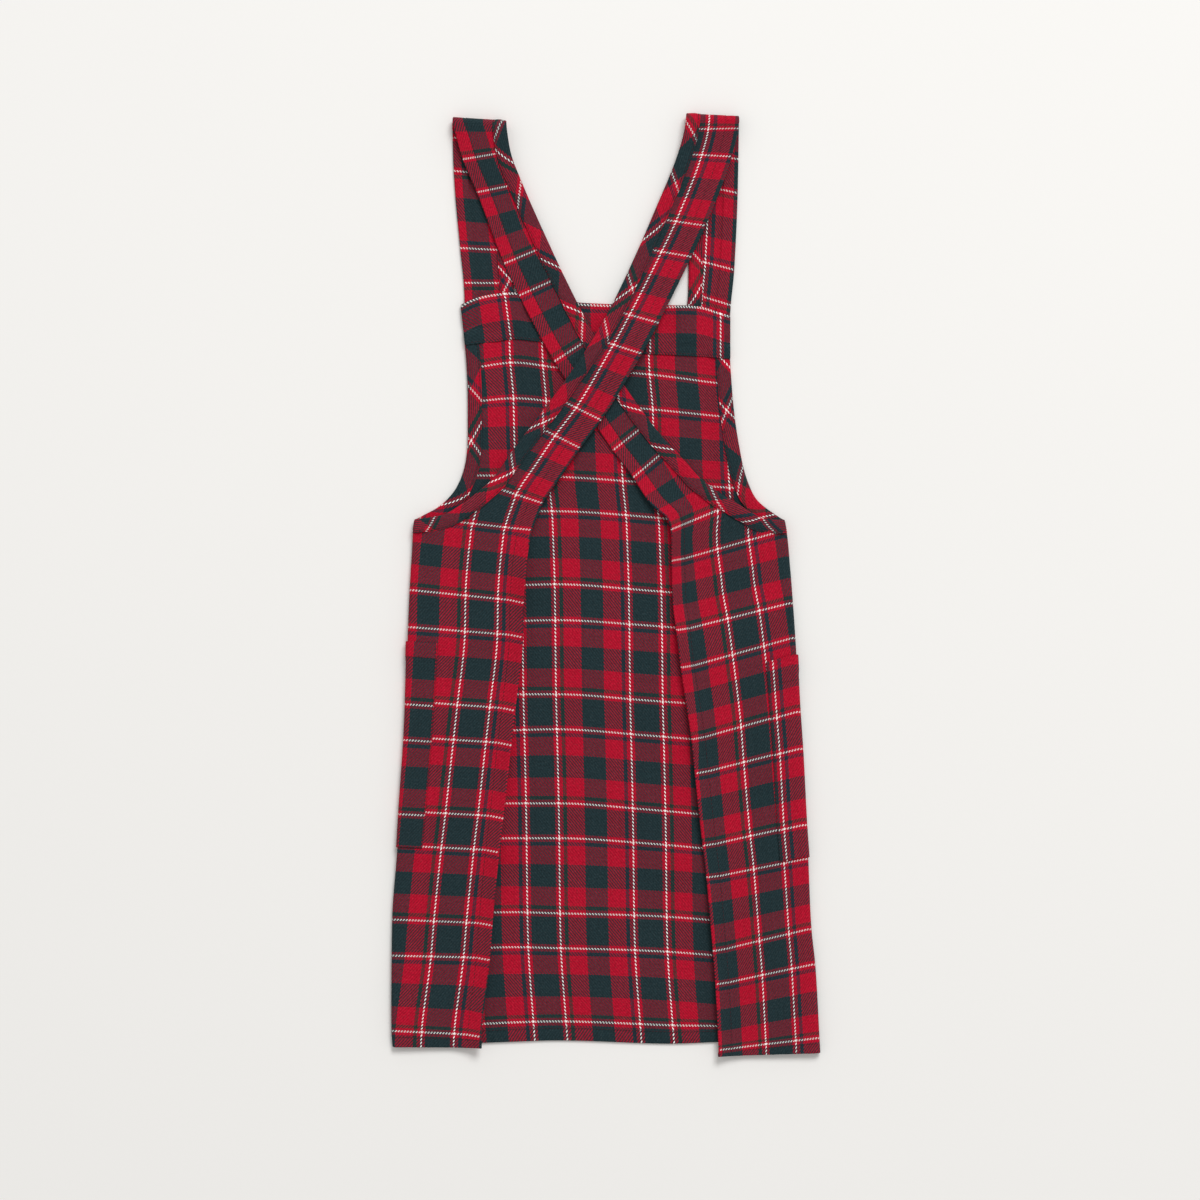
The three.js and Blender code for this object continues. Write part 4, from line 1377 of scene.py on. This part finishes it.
def stitch_tree():
    """Geometry Nodes tree: even stitches of thread along every line of a mesh of seams."""
    tree = bpy.data.node_groups.new("Seam stitches", "GeometryNodeTree")
    sockets = tree.interface
    sockets.new_socket("Geometry", in_out="INPUT", socket_type="NodeSocketGeometry")
    for name in ("Pitch", "Stitch length", "Thread width"):
        socket = sockets.new_socket(name, in_out="INPUT", socket_type="NodeSocketFloat")
        socket.subtype = "DISTANCE"
    sockets.new_socket("Thread", in_out="INPUT", socket_type="NodeSocketMaterial")
    sockets.new_socket("Geometry", in_out="OUTPUT", socket_type="NodeSocketGeometry")
    add = tree.nodes.new
    join = tree.links.new
    inputs, outputs = add("NodeGroupInput"), add("NodeGroupOutput")
    curve = add("GeometryNodeMeshToCurve")
    even = add("GeometryNodeCurveToPoints")
    even.mode = "LENGTH"
    bead = add("GeometryNodeMeshUVSphere")
    bead.inputs["Segments"].default_value = BEAD_SEGMENTS
    bead.inputs["Rings"].default_value = BEAD_RINGS
    bead.inputs["Radius"].default_value = 0.5
    size = add("ShaderNodeCombineXYZ")
    shape = add("GeometryNodeTransform")
    copies = add("GeometryNodeInstanceOnPoints")
    real = add("GeometryNodeRealizeInstances")
    rounded = add("GeometryNodeSetShadeSmooth")
    paint = add("GeometryNodeSetMaterial")
    join(inputs.outputs["Geometry"], curve.inputs[0])
    join(curve.outputs[0], even.inputs["Curve"])
    join(inputs.outputs["Pitch"], even.inputs["Length"])
    for axis, name in zip("XYZ", ("Thread width", "Thread width", "Stitch length")):
        join(inputs.outputs[name], size.inputs[axis])
    join(bead.outputs["Mesh"], shape.inputs["Geometry"])
    join(size.outputs[0], shape.inputs["Scale"])
    join(even.outputs["Points"], copies.inputs["Points"])
    join(shape.outputs[0], copies.inputs["Instance"])
    join(even.outputs["Rotation"], copies.inputs["Rotation"])
    join(copies.outputs[0], real.inputs[0])
    join(real.outputs[0], rounded.inputs[0])
    join(rounded.outputs[0], paint.inputs["Geometry"])
    join(inputs.outputs["Thread"], paint.inputs["Material"])
    join(paint.outputs[0], outputs.inputs[0])
    return tree


def seam_mesh(lines):
    """A mesh of edges along seams, given as lists of points in millimetres."""
    points, edges, start = [], [], 0
    for line in lines:
        points.extend((line * MM).tolist())
        edges.extend((start + n, start + n + 1) for n in range(len(line) - 1))
        start += len(line)
    mesh = bpy.data.meshes.new("seams")
    mesh.from_pydata(points, edges, [])
    return mesh


def stitched(name, lines, thread):
    """Stitches along seams as a plain mesh."""
    tree = stitch_tree()
    seams = seam_mesh(lines)
    holder = add_to_scene("seam_lines", seams)
    modifier = holder.modifiers.new("Stitches", "NODES")
    modifier.node_group = tree
    values = {
        "Pitch": thread.pitch,
        "Stitch length": thread.length,
        "Thread width": thread.width,
        "Thread": thread_material(thread),
    }
    for item in tree.interface.items_tree:
        if item.in_out == "INPUT" and item.name in values:
            modifier[item.identifier] = values[item.name]
    bpy.context.view_layer.update()
    depsgraph = bpy.context.evaluated_depsgraph_get()
    mesh = bpy.data.meshes.new_from_object(holder.evaluated_get(depsgraph))
    mesh.name = name
    holder.modifiers.remove(modifier)
    bpy.data.objects.remove(holder)
    bpy.data.meshes.remove(seams)
    if not mesh.polygons:
        raise RuntimeError("the seams carry no stitches")
    points = np.zeros(len(mesh.vertices) * 3, np.float32)
    mesh.vertices.foreach_get("co", points)
    # No stitch reaches into the table
    points[2::3] = np.maximum(points[2::3], LOWEST * MM)
    mesh.vertices.foreach_set("co", points)
    mesh.update()
    return mesh


def on_face(grid, turn, lift):
    """Points just over a grid's inside, with a turn of 1, or its outside, with -1."""
    stand = grid.inside if turn == 1 else grid.outside
    return grid.points + turn * grid.normals * (stand[..., None] + lift)


def seam_lines(body, cloth, thread):
    """Every visible seam of the apron, on the face that it shows on."""
    lift = thread.width / MM * STITCH_LIFT
    inside, outside = (on_face(body.grids["skirt"], turn, lift) for turn in (1, -1))
    hem = np.searchsorted(skirt_rows() * SKIRT_LENGTH, cloth.hem_width - HEM_STITCH)
    edge = np.searchsorted(EDGE_STOPS, cloth.edge_stitch)
    lines = [
        inside[hem, COLUMNS["panel"]],
        outside[hem, COLUMNS["left_wing"]],
        outside[hem, COLUMNS["right_wing"]],
        outside[hem:, edge],
        outside[hem:, -1 - edge],
        on_face(body.grids["left_strap"], -1, lift)[:, edge],
        on_face(body.grids["right_strap"], -1, lift)[:, -1 - edge],
    ]
    inset = BINDING_STITCH - (cloth.binding_width - cloth.binding_nose)
    height = cloth.binding_height * BINDING_STITCH_HEIGHT + lift
    for side in SIDES:
        points, normals, _ = bound_edge(side, body)
        out, up = path_frame(side, points, normals)
        for turn in (1, -1):
            lines.append(points + out * inset + up * turn * height)
    strip = on_face(facing_cloth(cloth).grids["facing"], 1, lift)
    lines.append(strip[FACING_SEAM_ROW, FACING_SEAM_IN:-FACING_SEAM_IN])
    for side in SIDES:
        patch = pocket_cloth(side, body, cloth).grids["pocket"]
        face = on_face(patch, -1, lift)
        up_side = face[POCKET_SEAM_FOOT:-POCKET_SEAM_TOP]
        across = face[:, POCKET_SEAM_IN:-POCKET_SEAM_IN]
        below_hem = patch.points[:, POCKET_HEM_COLUMN, 1] - (side.pocket_high - POCKET_HEM_STITCH)
        lines.append(up_side[:, POCKET_SEAM_IN])
        lines.append(up_side[:, -1 - POCKET_SEAM_IN])
        lines.append(across[POCKET_SEAM_FOOT])
        lines.append(across[np.argmin(np.abs(below_hem))])
    # Stitches on the underside lie pressed into the cloth
    table_gap = np.array((-math.inf, -math.inf, thread.width / MM))
    return [np.maximum(line, table_gap) for line in lines]


# Settings

LengthProperty = partial(FloatProperty, unit="LENGTH", precision=6)
ShareProperty = partial(FloatProperty, subtype="FACTOR")
ColourProperty = partial(FloatVectorProperty, subtype="COLOR", size=3)


class ApronCloth(bpy.types.PropertyGroup):
    """Sizes of the cloth and of the ways it is folded, hemmed and bound."""

    thickness: LengthProperty(
        name="Cloth", description="Thickness of the twill", default=0.9 * MM)
    layer: LengthProperty(
        name="Layer", description="Height of one more layer of cloth", default=1.0 * MM)
    fold_radius: LengthProperty(
        name="Side fold", description="Radius of the soft side folds", default=2.4 * MM)
    front_height: LengthProperty(
        name="Front strap height", description="Height of the straps' front stretch over the table",
        default=1.6 * MM)
    hem_width: LengthProperty(
        name="Hem", description="Width of the bottom hem", default=11 * MM)
    hem_shift: LengthProperty(
        name="Hem shift", description="How far the turned hem's pattern lies off a true mirror image",
        default=2.6 * MM)
    hem_bow: LengthProperty(
        name="Hem bow", description="How far the hem is drawn up beside the right wing", default=4 * MM)
    edge_stitch: LengthProperty(
        name="Edge stitching", description="Distance of the stitching from the wings' free edges",
        default=8.6 * MM)
    facing_stitch: LengthProperty(
        name="Facing stitching", description="Distance of the stitching from the facing's lower edge",
        default=1.2 * MM)
    binding_width: LengthProperty(
        name="Binding", description="Width of the binding on each face", default=10.6 * MM)
    binding_nose: LengthProperty(
        name="Binding nose", description="How far the binding stands past the cloth's edge",
        default=1.2 * MM)
    binding_height: LengthProperty(
        name="Binding height", description="Height of the binding over the middle of the cloth",
        default=1.8 * MM)
    ripple: LengthProperty(
        name="Ripple", description="Height of the panel's soft ripples", default=0.55 * MM)
    wing_puff: LengthProperty(
        name="Wing puff", description="Height of the wings' soft ripples", default=0.55 * MM)
    edge_curl: LengthProperty(
        name="Edge curl", description="How far the wings' free edges lift off", default=5.0 * MM)
    dimple: LengthProperty(
        name="Dimple", description="Depth that stitching pulls into the cloth", default=0.22 * MM)
    pocket_hem: LengthProperty(
        name="Pocket hem", description="Height that the pocket's turned upper hem adds", default=0.4 * MM)
    pocket_gape: LengthProperty(
        name="Pocket gape", description="How far a pocket's upper edge stands off", default=0.5 * MM)


class ApronTartan(bpy.types.PropertyGroup):
    """Yarns of the tartan."""

    red: ColourProperty(
        name="Red", description="Red yarn", default=(0.435, 0.005, 0.0245))
    green: ColourProperty(
        name="Green", description="Dark green yarn", default=(0.0145, 0.031, 0.036))
    moss: ColourProperty(
        name="Moss", description="Yarn of the narrow green stripe", default=(0.02, 0.039, 0.03))
    navy: ColourProperty(
        name="Navy", description="Yarn of the narrow blue stripe", default=(0.019, 0.028, 0.043))
    white: ColourProperty(
        name="White", description="White yarn", default=(0.95, 0.91, 0.88))
    end_pitch: LengthProperty(
        name="End pitch", description="Distance between warp yarns", default=0.5556 * MM)
    pick_pitch: LengthProperty(
        name="Pick pitch", description="Distance between weft yarns", default=0.6953 * MM)
    uneven: ShareProperty(
        name="Uneven yarn", description="Share by which yarns differ in tone", default=0.16)
    warp_bleed: ShareProperty(
        name="Warp bleed", description="Share by which the weft below tints the warp's edges",
        default=0.74)
    weft_bleed: ShareProperty(
        name="Weft bleed", description="Share by which the warp below tints the weft's edges",
        default=1.0)
    yarn_shade: ShareProperty(
        name="Yarn shade", description="Shade between the yarns", default=0.34)
    blend: ShareProperty(
        name="Blend", description="Share of the colour below that shows through all over", default=0.12)
    # Painted light on the warp floats and painted shade on the weft floats
    float_painted_shading: ShareProperty(
        name="Float tone", description="Share by which warp floats are lighter and weft floats darker",
        default=0.15)
    slub: FloatProperty(
        name="Slub", description="Share by which thick and thin places change the tone", default=1.1)
    slub_scale: FloatProperty(
        name="Slub scale", description="Scale of the thick and thin places", default=620)
    # Pale fibre flecks that partly stand for painted sheen on the fuzz
    lint_and_sheen: ShareProperty(
        name="Lint", description="Brightness of the pale fibre flecks", default=0.07)
    fade: ShareProperty(
        name="Fade", description="Share by which the cloth's tone drifts", default=0.14)
    fade_scale: FloatProperty(
        name="Fade scale", description="Scale of the drift of the cloth's tone", default=14)


class ApronThread(bpy.types.PropertyGroup):
    """Sewing thread and its stitches."""

    colour: ColourProperty(
        name="Thread", description="Thread colour", default=(0.06, 0.012, 0.02))
    pitch: LengthProperty(
        name="Pitch", description="Distance from stitch to stitch", default=2.9 * MM)
    length: LengthProperty(
        name="Length", description="Length of a stitch", default=2.3 * MM)
    width: LengthProperty(
        name="Width", description="Width of the thread", default=0.42 * MM)


class ApronStage(bpy.types.PropertyGroup):
    """Floor, light and camera."""

    floor_colour: ColourProperty(
        name="Floor", description="Floor colour", default=(0.9, 0.89, 0.87))
    key_power: FloatProperty(
        name="Key light", description="Power of the broad light overhead", default=240, unit="POWER")
    fill: FloatProperty(
        name="Fill light", description="Strength of the even light from all round", default=0.56)
    camera_height: LengthProperty(
        name="Camera height", description="Height of the camera over the table", default=3.0)
    camera_x: LengthProperty(
        name="Camera X", description="Place of the camera across the apron", default=-4.6 * MM)
    camera_y: LengthProperty(
        name="Camera Y", description="Place of the camera along the apron", default=-11.7 * MM)
    view_width: LengthProperty(
        name="View width", description="Width of what the camera sees on the table", default=0.9)


class ApronSettings(bpy.types.PropertyGroup):
    """All settings of the apron."""

    cloth: PointerProperty(type=ApronCloth)
    tartan: PointerProperty(type=ApronTartan)
    thread: PointerProperty(type=ApronThread)
    stage: PointerProperty(type=ApronStage)


# Operators

class APRON_OT_body(bpy.types.Operator):
    """Make the body: front panel, wings and straps from one cloth"""

    bl_idname = "apron.make_body"
    bl_label = "Body"

    def execute(self, context):
        settings = context.scene.apron
        mesh = body_cloth(millimetres(settings.cloth)).mesh("apron_body")
        piece = place(
            "apron_body", mesh, tartan_material(settings.tartan),
            ("front_panel", "left_wing", "right_wing", "left_strap", "right_strap"))
        return {"FINISHED"}


class APRON_OT_facing(bpy.types.Operator):
    """Make the facing along the bib's top"""

    bl_idname = "apron.make_facing"
    bl_label = "Facing"

    def execute(self, context):
        settings = context.scene.apron
        mesh = facing_cloth(millimetres(settings.cloth)).mesh("bib_facing_strip")
        piece = place(
            "bib_facing_strip", mesh, tartan_material(settings.tartan), ("bib_facing",))
        return {"FINISHED"}


class APRON_OT_bindings(bpy.types.Operator):
    """Make the bias bindings round the armholes and straps"""

    bl_idname = "apron.make_bindings"
    bl_label = "Bindings"

    def execute(self, context):
        settings = context.scene.apron
        cloth = millimetres(settings.cloth)
        body = body_cloth(cloth)
        material = tartan_material(settings.tartan)
        for side in SIDES:
            name = f"{side.name}_bias_binding"
            mesh = binding_mesh(name, side, body, cloth)
            piece = place(name, mesh, material, (f"{side.name}_binding",))
            length = bound_edge(side, body)[2][-1] * MM
        return {"FINISHED"}


class APRON_OT_pockets(bpy.types.Operator):
    """Make the patch pockets round the side folds"""

    bl_idname = "apron.make_pockets"
    bl_label = "Pockets"

    def execute(self, context):
        settings = context.scene.apron
        cloth = millimetres(settings.cloth)
        body = body_cloth(cloth)
        material = tartan_material(settings.tartan)
        for side in SIDES:
            name = f"{side.name}_patch_pocket"
            mesh = pocket_cloth(side, body, cloth).mesh(name)
            piece = place(name, mesh, material, (f"{side.name}_pocket",))
        return {"FINISHED"}


class APRON_OT_stitching(bpy.types.Operator):
    """Sew the stitches along the seams"""

    bl_idname = "apron.make_stitching"
    bl_label = "Stitching"

    def execute(self, context):
        settings = context.scene.apron
        cloth = millimetres(settings.cloth)
        lines = seam_lines(body_cloth(cloth), cloth, settings.thread)
        mesh = stitched("seam_stitching", lines, settings.thread)
        place("seam_stitching", mesh, thread_material(settings.thread))
        return {"FINISHED"}


# Stage, in metres, with the camera's sensor in millimetres
FLOOR_REACH = 6.0
SENSOR_WIDTH = 36.0
LAMP_PLACE = (1.5, 3.9, 4.6)
LAMP_SIZE = (2.8, 2.4)
FILL_COLOUR = (1, 0.99, 0.975, 1)


def paper_floor(stage):
    """The sheet of paper that the apron lies on."""
    mesh = bpy.data.meshes.new("floor")
    corners = ((-1, -1), (1, -1), (1, 1), (-1, 1))
    mesh.from_pydata([(x * FLOOR_REACH, y * FLOOR_REACH, 0) for x, y in corners], [], [(0, 1, 2, 3)])
    mesh.materials.append(floor_material(stage))
    return add_to_scene("floor", mesh)


def camera_above(stage):
    """The camera, which looks straight down."""
    camera = bpy.data.cameras.new("camera")
    camera.sensor_width = SENSOR_WIDTH
    camera.lens = camera.sensor_width * stage.camera_height / stage.view_width
    return add_to_scene("camera", camera, (stage.camera_x, stage.camera_y, stage.camera_height))


def broad_lamp(stage):
    """The broad light overhead, turned to the apron."""
    lamp = bpy.data.lights.new("overhead", "AREA")
    lamp.energy = stage.key_power
    lamp.shape = "RECTANGLE"
    lamp.size, lamp.size_y = LAMP_SIZE
    overhead = add_to_scene("overhead", lamp, LAMP_PLACE)
    overhead.rotation_mode = "QUATERNION"
    overhead.rotation_quaternion = overhead.location.to_track_quat("Z", "Y")


def fill_light(stage):
    """The even light from all round."""
    world = bpy.data.worlds.new("studio")
    world.use_nodes = True
    background = world.node_tree.nodes["Background"]
    background.inputs["Color"].default_value = FILL_COLOUR
    background.inputs["Strength"].default_value = stage.fill
    return world


class APRON_OT_stage(bpy.types.Operator):
    """Set the floor, the lights and the camera"""

    bl_idname = "apron.make_stage"
    bl_label = "Stage"

    def execute(self, context):
        scene, stage = context.scene, context.scene.apron.stage
        floor = paper_floor(stage)
        scene.camera = camera_above(stage)
        broad_lamp(stage)
        scene.world = fill_light(stage)
        scene.view_settings.view_transform = "Standard"
        # Keeps the noise filter from smoothing the twill away
        scene.cycles.denoising_prefilter = "NONE"
        return {"FINISHED"}


class APRON_PT_sidebar(bpy.types.Panel):
    """Lists the apron's pieces and settings"""

    bl_idname = "APRON_PT_sidebar"
    bl_label = "Kitchen apron"
    bl_space_type = "VIEW_3D"
    bl_region_type = "UI"
    bl_category = "Apron"

    def draw(self, context):
        for operator in OPERATORS:
            self.layout.operator(operator.bl_idname)
        settings = context.scene.apron
        for group in (settings.cloth, settings.tartan, settings.thread, settings.stage):
            box = self.layout.box()
            for key in group.__annotations__:
                box.prop(group, key)


OPERATORS = (
    APRON_OT_body,
    APRON_OT_facing,
    APRON_OT_bindings,
    APRON_OT_pockets,
    APRON_OT_stitching,
    APRON_OT_stage,
)
CLASSES = (
    ApronCloth, ApronTartan, ApronThread, ApronStage, ApronSettings, *OPERATORS, APRON_PT_sidebar)


def register():
    for cls in CLASSES:
        bpy.utils.register_class(cls)
    bpy.types.Scene.apron = PointerProperty(type=ApronSettings)


def unregister():
    del bpy.types.Scene.apron
    for cls in reversed(CLASSES):
        bpy.utils.unregister_class(cls)


def main():
    register()
    bpy.ops.apron.make_body()
    bpy.ops.apron.make_facing()
    bpy.ops.apron.make_bindings()
    bpy.ops.apron.make_pockets()
    bpy.ops.apron.make_stitching()
    bpy.ops.apron.make_stage()


if __name__ == "__main__":
    main()
